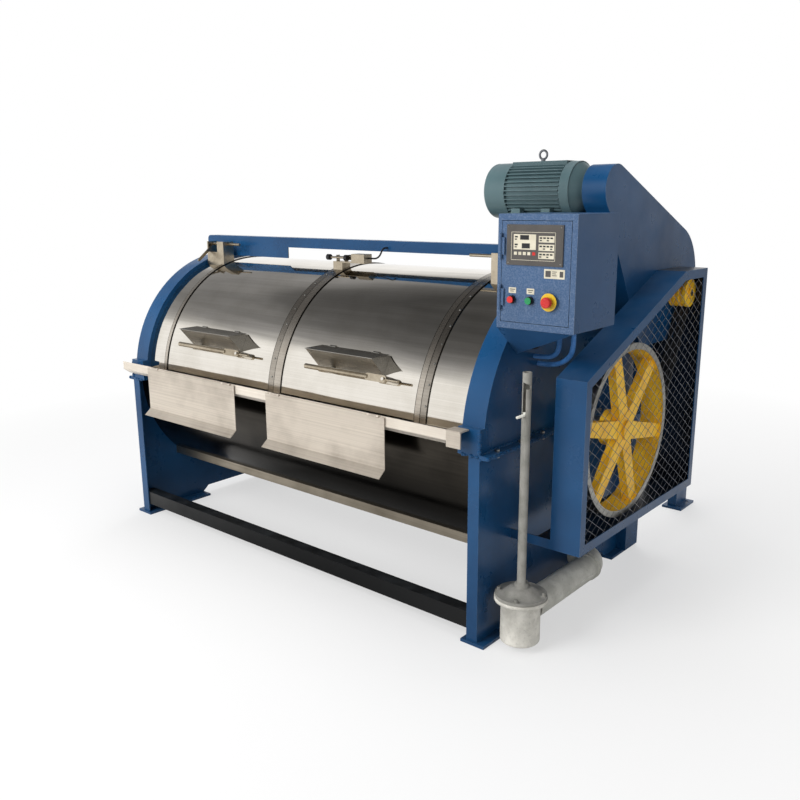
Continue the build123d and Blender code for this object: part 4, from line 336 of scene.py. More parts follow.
@dataclass(frozen=True)
class HammeredEnamel(Enamel):
    """Hammertone enamel on the front of the control box: dimpled, with paler crests."""

    front_y: float = 0.0
    dimple_mm: float = 5.0
    dimple_depth: float = 0.0005
    crest: str = "#7E8B9F"
    hollow_share: float = 0.12
    crest_share: float = 0.38

    def shade(self, tree: bpy.types.NodeTree, shader: bpy.types.Node) -> None:
        """Dimple the faces in front of front_y and leave the others plain.

        Args:
            tree: The node tree that takes the nodes.
            shader: The shader that takes the look.
        """
        super().shade(tree, shader)
        place = add_node(tree, "ShaderNodeTexCoord")
        here = place.outputs["Object"]
        split = add_node(tree, "ShaderNodeSeparateXYZ", {}, {0: here})
        front = remap(tree, split.outputs[1], self.front_y, self.front_y + 0.001, 1.0, 0.0)
        cells = add_node(
            tree,
            "ShaderNodeTexVoronoi",
            {"feature": "SMOOTH_F1", "Scale": 1000.0 / self.dimple_mm, "Smoothness": 0.6},
            {"Vector": here},
        )
        crest = remap(tree, cells.outputs["Distance"], 0.3, 0.85, self.hollow_share, self.crest_share)
        share = combine(tree, "MULTIPLY", crest, front)
        under = shader.inputs["Base Color"].links[0].from_socket
        tree.links.new(blend_colours(tree, share, under, self.crest), shader.inputs["Base Color"])
        height = combine(tree, "MULTIPLY", cells.outputs["Distance"], front)
        dimples = add_node(
            tree,
            "ShaderNodeBump",
            {"Strength": 0.8, "Distance": self.dimple_depth},
            {"Height": height, "Normal": shader.inputs["Normal"].links[0].from_socket},
        )
        tree.links.new(dimples.outputs[0], shader.inputs["Normal"])


@dataclass(frozen=True)
class ShadeLinedEnamel(Enamel):
    """Enamel of the wheel guard, with painted shade: near black on the faces within the guard's sheets."""

    inside_shade_colour: str = "#0A0D13"
    right: float = 1436.5
    front: float = 226.0
    back: float = 1301.0
    bottom: float = 380.0
    shoulder: float = 1052.0
    rise: float = 337.0
    run: float = 833.0

    def shade(self, tree: bpy.types.NodeTree, shader: bpy.types.Node) -> None:
        """Blacken the faces within the guard's sheets as painted shade and leave the outer faces blue.

        Args:
            tree: The node tree that takes the nodes.
            shader: The shader that takes the look.
        """
        super().shade(tree, shader)
        place = add_node(tree, "ShaderNodeTexCoord")
        here = place.outputs["Object"]
        split = add_node(tree, "ShaderNodeSeparateXYZ", {}, {0: here})
        near = at(self.right, self.front, self.bottom)
        far = at(self.right, self.back, self.shoulder)
        grade = self.rise / self.run
        climb = combine(tree, "SUBTRACT", split.outputs[1], near.y)
        under = combine(tree, "SUBTRACT", split.outputs[2], combine(tree, "MULTIPLY", climb, grade))
        within = combine(tree, "LESS_THAN", split.outputs[0], near.x)
        for test in (
            combine(tree, "GREATER_THAN", split.outputs[1], near.y),
            combine(tree, "LESS_THAN", split.outputs[1], far.y),
            combine(tree, "GREATER_THAN", split.outputs[2], near.z),
            combine(tree, "LESS_THAN", under, far.z),
        ):
            within = combine(tree, "MULTIPLY", within, test)
        # Painted shade: the faces inside the guard go near black, varied a little at random
        smears = remap(tree, cloud(tree, here, 120.0), 0.3, 0.7, 0.82, 1.0)
        share = combine(tree, "MULTIPLY", within, smears)
        coat = shader.inputs["Base Color"].links[0].from_socket
        tree.links.new(blend_colours(tree, share, coat, self.inside_shade_colour), shader.inputs["Base Color"])


@dataclass(frozen=True)
class SheetMetal(Finish):
    """Rolled stainless or steel sheet: metallic, with polishing marks and a faint waviness."""

    colour: str
    stain: str
    rough: Tuple[float, float]
    lay: Lay = Lay.ALONG_DRUM
    mark_depth: float = 0.00006
    wave_mm: float = 260.0
    wave_depth: float = 0.0
    painted_shade_colour: str = ""
    painted_shade_from: float = 0.0
    metal_share: float = 1.0

    def shade(self, tree: bpy.types.NodeTree, shader: bpy.types.Node) -> None:
        """Draw the marks as thin stretched noise, in the colour, the gloss and the relief.

        Args:
            tree: The node tree that takes the nodes.
            shader: The shader that takes the look.
        """
        place = add_node(tree, "ShaderNodeTexCoord")
        here = place.outputs["Object"]
        stretch = add_node(tree, "ShaderNodeMapping", {"Scale": self.lay.value}, {"Vector": here})
        marks = add_node(
            tree,
            "ShaderNodeTexNoise",
            {"Scale": 1.0, "Detail": 4.0, "Roughness": 0.6},
            {"Vector": stretch.outputs[0]},
        ).outputs["Fac"]
        smears = cloud(tree, here, 190.0, 5.0)
        tone = combine(tree, "ADD", remap(tree, marks, 0.3, 0.7, 0.0, 0.45), remap(tree, smears, 0.4, 0.7, 0.0, 0.55))
        base = blend_colours(tree, tone, self.colour, self.stain)
        # Painted shade: the colour darkens towards the bottom over the 100 mm below a given height
        if self.painted_shade_colour:
            split = add_node(tree, "ShaderNodeSeparateXYZ", {}, {0: here})
            low = remap(tree, split.outputs[2], self.painted_shade_from - 0.10, self.painted_shade_from, 1.0, 0.0)
            base = blend_colours(tree, low, base, self.painted_shade_colour)
        tree.links.new(base, shader.inputs["Base Color"])
        shader.inputs["Metallic"].default_value = self.metal_share
        haze = combine(tree, "ADD", remap(tree, marks, 0.3, 0.7, 0.0, 0.5), remap(tree, smears, 0.35, 0.7, 0.0, 0.5))
        tree.links.new(remap(tree, haze, 0.0, 1.0, self.rough[0], self.rough[1]), shader.inputs["Roughness"])
        grooves = add_node(
            tree,
            "ShaderNodeBump",
            {"Strength": 0.5, "Distance": self.mark_depth},
            {"Height": marks},
        )
        normal = grooves.outputs[0]
        if self.wave_depth:
            slow = add_node(tree, "ShaderNodeMapping", {"Scale": (0.35, 1.0, 1.0)}, {"Vector": here})
            wave = add_node(
                tree,
                "ShaderNodeBump",
                {"Strength": 1.0, "Distance": self.wave_depth},
                {"Height": cloud(tree, slow.outputs[0], self.wave_mm, 1.0), "Normal": normal},
            )
            normal = wave.outputs[0]
        tree.links.new(normal, shader.inputs["Normal"])


@dataclass(frozen=True)
class LappedSheet(SheetMetal):
    """Strips of sheet lapped over each other: a dark line along each lap, painted shade in its groove together with
    sealant.
    """

    laps: Tuple[Tuple[float, float, float], ...] = ()
    lap_shade_and_sealant_colour: str = "#2E2B27"

    def shade(self, tree: bpy.types.NodeTree, shader: bpy.types.Node) -> None:
        """Darken each lap, given by its two ends along the drum and its strength.

        Args:
            tree: The node tree that takes the nodes.
            shader: The shader that takes the look.
        """
        super().shade(tree, shader)
        place = add_node(tree, "ShaderNodeTexCoord")
        split = add_node(tree, "ShaderNodeSeparateXYZ", {}, {0: place.outputs["Object"]})
        share = None
        for start, end, strength in self.laps:
            past = combine(tree, "GREATER_THAN", split.outputs[0], at(start, 0.0, 0.0).x)
            short = combine(tree, "LESS_THAN", split.outputs[0], at(end, 0.0, 0.0).x)
            lap = combine(tree, "MULTIPLY", combine(tree, "MULTIPLY", past, short), strength)
            share = lap if share is None else combine(tree, "MAXIMUM", share, lap)
        # Painted shade in the lap grooves, together with sealant
        under = shader.inputs["Base Color"].links[0].from_socket
        tree.links.new(blend_colours(tree, share, under, self.lap_shade_and_sealant_colour), shader.inputs["Base Color"])


@dataclass(frozen=True)
class PerforatedSheet(SheetMetal):
    """Stainless basket sheet with rows of round holes about the drum axis."""

    pitch_mm: float = 22.0
    hole_mm: float = 8.0
    radius_mm: float = 543.0

    def shade(self, tree: bpy.types.NodeTree, shader: bpy.types.Node) -> None:
        """Paint the holes black, as painted shade seen through them, in staggered rows over the curved wall.

        Args:
            tree: The node tree that takes the nodes.
            shader: The shader that takes the look.
        """
        super().shade(tree, shader)
        place = add_node(tree, "ShaderNodeTexCoord")
        split = add_node(tree, "ShaderNodeSeparateXYZ", {}, {0: place.outputs["Object"]})
        axis = at(0.0, *DRUM_AXIS)
        across = combine(tree, "SUBTRACT", split.outputs[1], axis.y)
        up = combine(tree, "SUBTRACT", split.outputs[2], axis.z)
        turn = combine(tree, "ARCTAN2", up, across)
        pitch = self.pitch_mm / 1000.0
        around = combine(tree, "MULTIPLY", turn, self.radius_mm / 1000.0 / pitch)
        along = combine(tree, "DIVIDE", split.outputs[0], pitch)
        row = combine(tree, "FLOOR", around, 0.0)
        shift = combine(tree, "MULTIPLY", combine(tree, "MODULO", row, 2.0), 0.5)
        cell_u = combine(tree, "SUBTRACT", combine(tree, "FRACT", combine(tree, "ADD", along, shift), 0.0), 0.5)
        cell_v = combine(tree, "SUBTRACT", combine(tree, "FRACT", around, 0.0), 0.5)
        far = distance(tree, cell_u, cell_v)
        edge = self.hole_mm / self.pitch_mm / 2.0
        hole = remap(tree, far, edge * 0.9, edge * 1.1, 1.0, 0.0)
        wall_radius = distance(tree, across, up)
        on_wall = remap(tree, wall_radius, (self.radius_mm - 8.0) / 1000.0, (self.radius_mm - 6.0) / 1000.0, 0.0, 1.0)
        hole = combine(tree, "MULTIPLY", hole, on_wall)
        under = shader.inputs["Base Color"].links[0].from_socket
        # Painted shade: the holes are black, not cut
        tree.links.new(blend_colours(tree, hole, under, "#050505"), shader.inputs["Base Color"])
        tree.links.new(combine(tree, "SUBTRACT", 1.0, hole), shader.inputs["Metallic"])


@dataclass(frozen=True)
class Casting(Finish):
    """Sand-cast iron under a coat of paint: pitted, uneven and matt."""

    colour: str
    shade_colour: str
    rust: str
    rough: Tuple[float, float] = (0.55, 0.8)
    grit_mm: float = 11.0
    grit_depth: float = 0.0016
    rust_share: float = 0.25

    def shade(self, tree: bpy.types.NodeTree, shader: bpy.types.Node) -> None:
        """Pit the skin at the sand's size and stain its hollows.

        Args:
            tree: The node tree that takes the nodes.
            shader: The shader that takes the look.
        """
        place = add_node(tree, "ShaderNodeTexCoord")
        here = place.outputs["Object"]
        grit = cloud(tree, here, self.grit_mm, 5.0)
        lumps = cloud(tree, here, self.grit_mm * 5.0, 3.0)
        base = blend_colours(tree, remap(tree, lumps, 0.35, 0.65, 0.0, 1.0), self.colour, self.shade_colour)
        pits = remap(tree, grit, 0.28, 0.44, self.rust_share, 0.0)
        base = blend_colours(tree, pits, base, self.rust)
        tree.links.new(base, shader.inputs["Base Color"])
        tree.links.new(remap(tree, grit, 0.3, 0.7, self.rough[0], self.rough[1]), shader.inputs["Roughness"])
        height = combine(tree, "ADD", combine(tree, "MULTIPLY", grit, 0.5), lumps)
        skin = add_node(
            tree,
            "ShaderNodeBump",
            {"Strength": 0.7, "Distance": self.grit_depth},
            {"Height": height},
        )
        tree.links.new(skin.outputs[0], shader.inputs["Normal"])


@dataclass(frozen=True)
class Moulded(Finish):
    """Moulded plastic or rubber: one colour, a fine texture and a few greasy patches."""

    colour: str
    patch: str
    rough: Tuple[float, float]
    grain_mm: float = 2.5
    grain_depth: float = 0.0001

    def shade(self, tree: bpy.types.NodeTree, shader: bpy.types.Node) -> None:
        """Patch the colour and the gloss, and grain the skin.

        Args:
            tree: The node tree that takes the nodes.
            shader: The shader that takes the look.
        """
        place = add_node(tree, "ShaderNodeTexCoord")
        here = place.outputs["Object"]
        patches = remap(tree, cloud(tree, here, 45.0, 4.0), 0.4, 0.66, 0.0, 1.0)
        tree.links.new(blend_colours(tree, patches, self.colour, self.patch), shader.inputs["Base Color"])
        tree.links.new(remap(tree, patches, 0.0, 1.0, self.rough[0], self.rough[1]), shader.inputs["Roughness"])
        grain = add_node(
            tree,
            "ShaderNodeBump",
            {"Strength": 0.5, "Distance": self.grain_depth},
            {"Height": cloud(tree, here, self.grain_mm, 2.0)},
        )
        tree.links.new(grain.outputs[0], shader.inputs["Normal"])


@dataclass(frozen=True)
class TwoTone(Finish):
    """Two finishes on one solid, parted by the distance from an axis along the drum."""

    inner: Finish
    outer: Finish
    axis: Tuple[float, float] = DRUM_AXIS
    part_mm: float = 345.0
    face_x: float = 9000.0
    face_part_mm: float = 0.0

    def material(self) -> bpy.types.Material:
        """Make both finishes' shaders in one tree and mix them by radius."""
        made = bpy.data.materials.get(self.name)
        if made is not None:
            return made
        made = bpy.data.materials.new(self.name)
        made.use_nodes = True
        tree = made.node_tree
        tree.nodes.clear()
        shaders = []
        for finish in (self.inner, self.outer):
            shader = add_node(tree, "ShaderNodeBsdfPrincipled")
            finish.shade(tree, shader)
            shaders.append(shader.outputs[0])
        place = add_node(tree, "ShaderNodeTexCoord")
        split = add_node(tree, "ShaderNodeSeparateXYZ", {}, {0: place.outputs["Object"]})
        centre = at(0.0, *self.axis)
        across = combine(tree, "SUBTRACT", split.outputs[1], centre.y)
        up = combine(tree, "SUBTRACT", split.outputs[2], centre.z)
        far = distance(tree, across, up)
        on_face = combine(tree, "GREATER_THAN", split.outputs[0], at(self.face_x, 0.0, 0.0).x)
        wider = combine(tree, "MULTIPLY", on_face, (self.part_mm - self.face_part_mm) / 1000.0)
        far = combine(tree, "ADD", far, wider)
        share = remap(tree, far, self.part_mm / 1000.0 - 0.0004, self.part_mm / 1000.0 + 0.0004, 0.0, 1.0)
        mix = add_node(tree, "ShaderNodeMixShader", {}, {0: share, 1: shaders[0], 2: shaders[1]})
        add_node(tree, "ShaderNodeOutputMaterial", {}, {"Surface": mix.outputs[0]})
        return made


# Blue enamel sprayed over welded plate: a deep, even gloss with rubbed edges
FRAME_ENAMEL = Enamel("blue_sprayed_enamel", "frame_blue", "#12456F", "#0E375C", "#7697B2", gloss=(0.24, 0.42))
# The guard's coat: the same enamel outside, with painted shade near black inside
GUARD_ENAMEL = ShadeLinedEnamel("dusted_blue_enamel", "frame_blue", "#12456F", "#0E375C", "#7697B2", gloss=(0.24, 0.42))
# Hammertone enamel: dimples the size of a fingertip that catch the light
BOX_ENAMEL = HammeredEnamel(
    "blue_hammered_enamel",
    "hammer_blue",
    "#254A72",
    "#204266",
    "#7E97AD",
    front_y=at(0.0, 95.5, 0.0).y,
)
# Satin black enamel on rolled steel: nearly matt, scuffed
BLACK_ENAMEL = Enamel("black_satin_enamel", "black_paint", "#0D0E0F", "#08090A", "#3C3E41", gloss=(0.34, 0.55))
# Polished stainless sheet: mirror bright, rolled slightly wavy, with faint lines along the drum
MIRROR_STEEL = SheetMetal(
    "polished_stainless_sheet",
    "mirror_stainless",
    "#F0EBE2",
    "#D9D3C8",
    (0.035, 0.10),
    wave_depth=0.007,
    mark_depth=0.000008,
)
# The same sheet below the gutter, less polished, with painted shade: a dark colour for the shadowed floor that it
# mirrors, darker still towards the bottom
LOWER_STEEL_PAINTED_SHADE = SheetMetal(
    "oiled_stainless_sheet",
    "mirror_stainless",
    "#403C36",
    "#292622",
    (0.12, 0.26),
    wave_depth=0.003,
    mark_depth=0.00001,
    painted_shade_colour="#161412",
    painted_shade_from=0.42,
)
# Brushed stainless sheet of the gutter's boards: long fine scratches, dulled by dried water and handling
WATERMARKED_STEEL = SheetMetal(
    "watermarked_brushed_sheet",
    "brushed_stainless",
    "#CFC5B7",
    "#A0968A",
    (0.38, 0.56),
    mark_depth=0.00012,
    metal_share=0.5,
)
# The gutter's own sheet, paler where the water runs
GUTTER_STEEL = SheetMetal(
    "water_washed_brushed_sheet",
    "brushed_stainless",
    "#DED5C8",
    "#BDB3A5",
    (0.34, 0.5),
    mark_depth=0.00012,
    metal_share=0.35,
)
# Cold-folded stainless of the hoppers: greyer, with the mill's skin still on it
FOLDED_STEEL = SheetMetal(
    "mill_finish_folded_sheet", "brushed_stainless", "#BDBAB4", "#969289", (0.24, 0.4), mark_depth=0.0001
)
# The ledge under the shell: the same sheet, stained by drips
LEDGE_STEEL = SheetMetal(
    "drip_stained_sheet", "brushed_stainless", "#B0A696", "#8C8374", (0.34, 0.52), mark_depth=0.0001
)
# Door rails: lapped stainless strips, dark along their laps with painted shade and sealant, and under their screws
RAIL_STEEL = LappedSheet(
    "lapped_stainless_rails",
    "brushed_stainless",
    "#D2CABE",
    "#ABA296",
    (0.20, 0.34),
    mark_depth=0.00006,
    laps=(
        (-912.0, -907.5, 0.9),
        (-888.0, -884.0, 0.9),
        (-89.0, -85.5, 0.9),
        (-85.5, -52.0, 0.25),
        (-52.0, -48.5, 0.9),
        (-5.5, -2.0, 0.9),
        (784.0, 787.5, 0.9),
        (813.5, 817.0, 0.9),
        (817.0, 845.5, 0.25),
        (845.5, 849.0, 0.9),
    ),
)
# Satin stainless bar and fittings: small parts with a warm tint from the welds
FITTING_STEEL = SheetMetal(
    "satin_stainless_fittings", "brushed_stainless", "#CFC3AE", "#A2957F", (0.24, 0.42), lay=Lay.CAST
)
# Turned steel: bright, with rings too fine to see
TURNED_STEEL = SheetMetal("turned_steel", "machined_steel", "#B9B8B2", "#8D8B84", (0.30, 0.5), lay=Lay.CAST)
# Galvanised wire: dull zinc grey
ZINC_WIRE = SheetMetal("galvanised_wire", "galvanised_mesh", "#A2A4AA", "#797B80", (0.35, 0.55), lay=Lay.CAST)
# Perforated stainless basket sheet
BASKET_STEEL = PerforatedSheet(
    "perforated_stainless_sheet", "brushed_stainless", "#C9C6C0", "#A5A29B", (0.2, 0.38), mark_depth=0.00005
)
# Yellow enamel brushed over a rough iron casting
WHEEL_ENAMEL = Casting(
    "yellow_brushed_on_enamel",
    "wheel_yellow",
    "#FFD036",
    "#F0B82A",
    "#8A6A22",
    rough=(0.32, 0.55),
    grit_mm=16.0,
    grit_depth=0.0012,
)
# Grey-green motor enamel over cast iron and aluminium
MOTOR_ENAMEL = Enamel(
    "grey_green_motor_enamel", "motor_green", "#50666A", "#43575B", "#94A4A6", gloss=(0.28, 0.45), dust=0.16
)
# Grey paint on a rough sand casting: pitted like orange skin
POT_CASTING = Casting("grey_painted_casting", "pot_grey", "#DAD7CE", "#BBB8AF", "#5A564D", grit_depth=0.006)
# The same paint on the lid, greyer where hands and water have worn it
LID_CASTING = Casting("worn_grey_casting", "pot_grey", "#918F89", "#7C7B75", "#45423C", rough=(0.4, 0.62))
# Grey paint over a drawn pipe: smoother than the castings
PIPE_PAINT = Casting("grey_painted_pipe", "pot_grey", "#C2C1B9", "#AAA9A1", "#55524A", grit_depth=0.0015)
# Aluminium paint on the handle rod, paler than the pot
ROD_PAINT = Casting("pale_painted_rod", "pot_grey", "#E2E1D8", "#CFCEC4", "#6A675E", grit_depth=0.0005)
# Moulded black rubber V-belts
BELT_RUBBER = Moulded("moulded_belt_rubber", "belt_rubber", "#1A1A1A", "#262524", (0.5, 0.75))
# Printed polyester film on the control panel
PANEL_FILM = Moulded("dark_printed_film", "panel_film", "#45423F", "#4C4845", (0.28, 0.4), grain_depth=0.00003)
PALE_FILM = Moulded("pale_printed_film", "panel_film", "#CFC8B4", "#C2BBA6", (0.35, 0.45), grain_depth=0.00003)
BLACK_PLASTIC = Moulded("moulded_black_plastic", "black_plastic", "#141416", "#1C1C1E", (0.3, 0.5))
RED_PLASTIC = Moulded("moulded_red_plastic", "red_plastic", "#C22A26", "#A92320", (0.22, 0.35))
GREEN_PLASTIC = Moulded("moulded_green_plastic", "green_plastic", "#1E8F55", "#187A47", (0.22, 0.35))
YELLOW_PLASTIC = Moulded("moulded_yellow_plastic", "wheel_yellow", "#D8B52E", "#C4A226", (0.3, 0.45))
CONDUIT_PLASTIC = Moulded("corrugated_blue_plastic", "conduit_blue", "#3F78B8", "#3468A2", (0.35, 0.55))
CABLE_SHEATH = Moulded("black_cable_sheath", "black_plastic", "#101012", "#1A1A1C", (0.4, 0.6))

WHEEL_FINISH = TwoTone(
    "wheel_casting_and_turned_rim",
    "wheel_yellow",
    WHEEL_ENAMEL,
    TURNED_STEEL,
    part_mm=345.0,
    face_x=1409.0,
    face_part_mm=329.0,
)


def mesh_object(name: str, mesh: bpy.types.Mesh) -> bpy.types.Object:
    """Put a mesh into the scene under a piece's name.

    Args:
        name: The new object's or tree's name.
        mesh: The mesh that it shows.

    Returns:
        The new object, linked to the scene.
    """
    mesh.name = name
    piece = bpy.data.objects.new(name, mesh)
    bpy.context.scene.collection.objects.link(piece)
    return piece


def copy_of(node: str, name: str) -> bpy.types.Object:
    """Copy a CAD node into a new piece whose loose triangles are merged.

    Args:
        node: The name of the CAD node.
        name: The new object's or tree's name.

    Returns:
        The copy, linked to the scene.
    """
    mesh = frame["nodes"][node].data.copy()
    work = bmesh.new()
    work.from_mesh(mesh)
    bmesh.ops.remove_doubles(work, verts=work.verts, dist=0.00002)
    work.to_mesh(mesh)
    work.free()
    mesh.materials.clear()
    return mesh_object(name, mesh)


def shade_round(piece: bpy.types.Object, axis: Tuple[float, float], facing: float = 0.94) -> None:
    """Give the curved walls about an axis along the drum their true round normals.

    Args:
        piece: The piece, a mesh of triangles.
        axis: Where the axis crosses the drawing's Y and Z, in millimetres.
        facing: How squarely a face must look at the axis to count as part of the wall.
    """
    mesh = piece.data
    mesh.polygons.foreach_set("use_smooth", [True] * len(mesh.polygons))
    centre = at(0.0, *axis)
    normals: List[Vector] = [Vector((0.0, 0.0, 1.0))] * len(mesh.loops)
    for face in mesh.polygons:
        for loop in face.loop_indices:
            spot = mesh.vertices[mesh.loops[loop].vertex_index].co
            out = Vector((0.0, spot.y - centre.y, spot.z - centre.z)).normalized()
            lean = face.normal.dot(out)
            normals[loop] = out * math.copysign(1.0, lean) if abs(lean) > facing else face.normal.copy()
    mesh.normals_split_custom_set(normals)


def shade_by_angle(piece: bpy.types.Object, degrees: float = 32.0) -> None:
    """Shade a piece smooth up to the angle at which its edges read as sharp.

    Args:
        piece: The object to work on.
        degrees: The least angle of a sharp edge.
    """
    mesh = piece.data
    mesh.polygons.foreach_set("use_smooth", [True] * len(mesh.polygons))
    mesh.set_sharp_from_angle(angle=math.radians(degrees))


def give_sizes(modifier: bpy.types.NodesModifier, sizes: Dict[str, float]) -> None:
    """Set a Geometry Nodes modifier's named inputs by their sockets' identifiers.

    Args:
        modifier: The modifier to set.
        sizes: Values by the names of the group's inputs.
    """
    for item in modifier.node_group.interface.items_tree:
        if item.in_out == "INPUT" and item.name in sizes:
            modifier[item.identifier] = sizes[item.name]


def baked(piece: bpy.types.Object, name: str) -> bpy.types.Object:
    """Turn a piece with live modifiers into a plain mesh piece and remove the original.

    Args:
        piece: The mesh or curve object with its modifiers.
        name: The name of the plain piece.

    Returns:
        The plain piece.
    """
    view = bpy.context.evaluated_depsgraph_get()
    view.update()
    mesh = bpy.data.meshes.new_from_object(piece.evaluated_get(view), depsgraph=view)
    source = piece.data
    curve = piece.type == "CURVE"
    bpy.data.objects.remove(piece)
    (bpy.data.curves if curve else bpy.data.meshes).remove(source)
    return mesh_object(name, mesh)


@dataclass
class Piece:
    """A visible piece, with the body it rides on and the CAD nodes it stands for."""

    shape: bpy.types.Object
    body: str
    finish: Finish
    nodes: Tuple[str, ...] = ()

    def place(self) -> None:
        """Dress the piece, let it ride and log it."""
        self.finish.dress(self.shape)
        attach(self.shape, self.body)
        if self.nodes:
            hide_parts(*self.nodes)
        log.info("%s rides on %s in %s", self.shape.name, self.body, self.finish.name)


def body_of_node(node: str) -> str:
    """Find the body that a CAD node belongs to.

    Args:
        node: The name of the CAD node.

    Returns:
        The name of the body that carries the node.
    """
    for body, members in frame["record"]["behaviour"]["bodies"].items():
        if node in members:
            return body
    raise KeyError(node)


class SplitBy(Enum):
    """The measure that parts two finishes on one solid."""

    LENGTH = 0
    HEIGHT = 2


@dataclass(frozen=True)
class PartedFinish(Finish):
    """Two finishes on one solid, parted at a place on the drawing."""

    below: Finish
    above: Finish
    split: SplitBy = SplitBy.HEIGHT
    part_mm: float = 0.0

    def material(self) -> bpy.types.Material:
        """Make both finishes' shaders in one tree and mix them at the parting."""
        made = bpy.data.materials.get(self.name)
        if made is not None:
            return made
        made = bpy.data.materials.new(self.name)
        made.use_nodes = True
        tree = made.node_tree
        tree.nodes.clear()
        shaders = []
        for finish in (self.below, self.above):
            shader = add_node(tree, "ShaderNodeBsdfPrincipled")
            finish.shade(tree, shader)
            shaders.append(shader.outputs[0])
        place = add_node(tree, "ShaderNodeTexCoord")
        split = add_node(tree, "ShaderNodeSeparateXYZ", {}, {0: place.outputs["Object"]})
        parting = at(self.part_mm, self.part_mm, self.part_mm)[self.split.value]
        share = remap(tree, split.outputs[self.split.value], parting - 0.0002, parting + 0.0002, 0.0, 1.0)
        mix = add_node(tree, "ShaderNodeMixShader", {}, {0: share, 1: shaders[0], 2: shaders[1]})
        add_node(tree, "ShaderNodeOutputMaterial", {}, {"Surface": mix.outputs[0]})
        return made


@dataclass(frozen=True)
class EndsFinish(Finish):
    """One finish on the middle of a long solid and another on both of its ends."""

    middle: Finish
    ends: Finish
    centre_mm: float
    half_mm: float

    def material(self) -> bpy.types.Material:
        """Make both finishes' shaders in one tree and mix them by the distance from the middle."""
        made = bpy.data.materials.get(self.name)
        if made is not None:
            return made
        made = bpy.data.materials.new(self.name)
        made.use_nodes = True
        tree = made.node_tree
        tree.nodes.clear()
        shaders = []
        for finish in (self.middle, self.ends):
            shader = add_node(tree, "ShaderNodeBsdfPrincipled")
            finish.shade(tree, shader)
            shaders.append(shader.outputs[0])
        place = add_node(tree, "ShaderNodeTexCoord")
        split = add_node(tree, "ShaderNodeSeparateXYZ", {}, {0: place.outputs["Object"]})
        off = combine(tree, "SUBTRACT", split.outputs[0], at(self.centre_mm, 0.0, 0.0).x)
        far = combine(tree, "ABSOLUTE", off, 0.0)
        share = combine(tree, "GREATER_THAN", far, self.half_mm / 1000.0)
        mix = add_node(tree, "ShaderNodeMixShader", {}, {0: share, 1: shaders[0], 2: shaders[1]})
        add_node(tree, "ShaderNodeOutputMaterial", {}, {"Surface": mix.outputs[0]})
        return made


JACKSHAFT_AXIS = (1232.0, 1282.0)
MOTOR_AXIS = (637.0, 1724.0)
PULLEY_FINISH = TwoTone(
    "turned_shaft_and_yellow_pulleys",
    "wheel_yellow",
    TURNED_STEEL,
    WHEEL_ENAMEL,
    axis=JACKSHAFT_AXIS,
    part_mm=15.0,
)
MOTOR_FINISH = PartedFinish(
    "motor_enamel_and_zinc_lifting_eye",
    "motor_green",
    MOTOR_ENAMEL,
    ZINC_WIRE,
    split=SplitBy.HEIGHT,
    part_mm=1840.0,
)
ROCKER_FINISH = EndsFinish(
    "satin_rocker_with_black_rollers",
    "brushed_stainless",
    FITTING_STEEL,
    BLACK_PLASTIC,
    centre_mm=-45.0,
    half_mm=48.0,
)
SHAFT_FINISH = PartedFinish(
    "turned_shaft_with_painted_end",
    "machined_steel",
    TURNED_STEEL,
    WHEEL_ENAMEL,
    split=SplitBy.LENGTH,
    part_mm=1340.0,
)
PANEL_PRINT = PartedFinish(
    "dark_film_over_pale_plates",
    "panel_film",
    PALE_FILM,
    PANEL_FILM,
    split=SplitBy.HEIGHT,
    part_mm=1461.0,
)
COLLAR_FINISH = PartedFinish(
    "black_collars_and_yellow_disc",
    "black_plastic",
    BLACK_PLASTIC,
    YELLOW_PLASTIC,
    split=SplitBy.LENGTH,
    part_mm=1316.0,
)


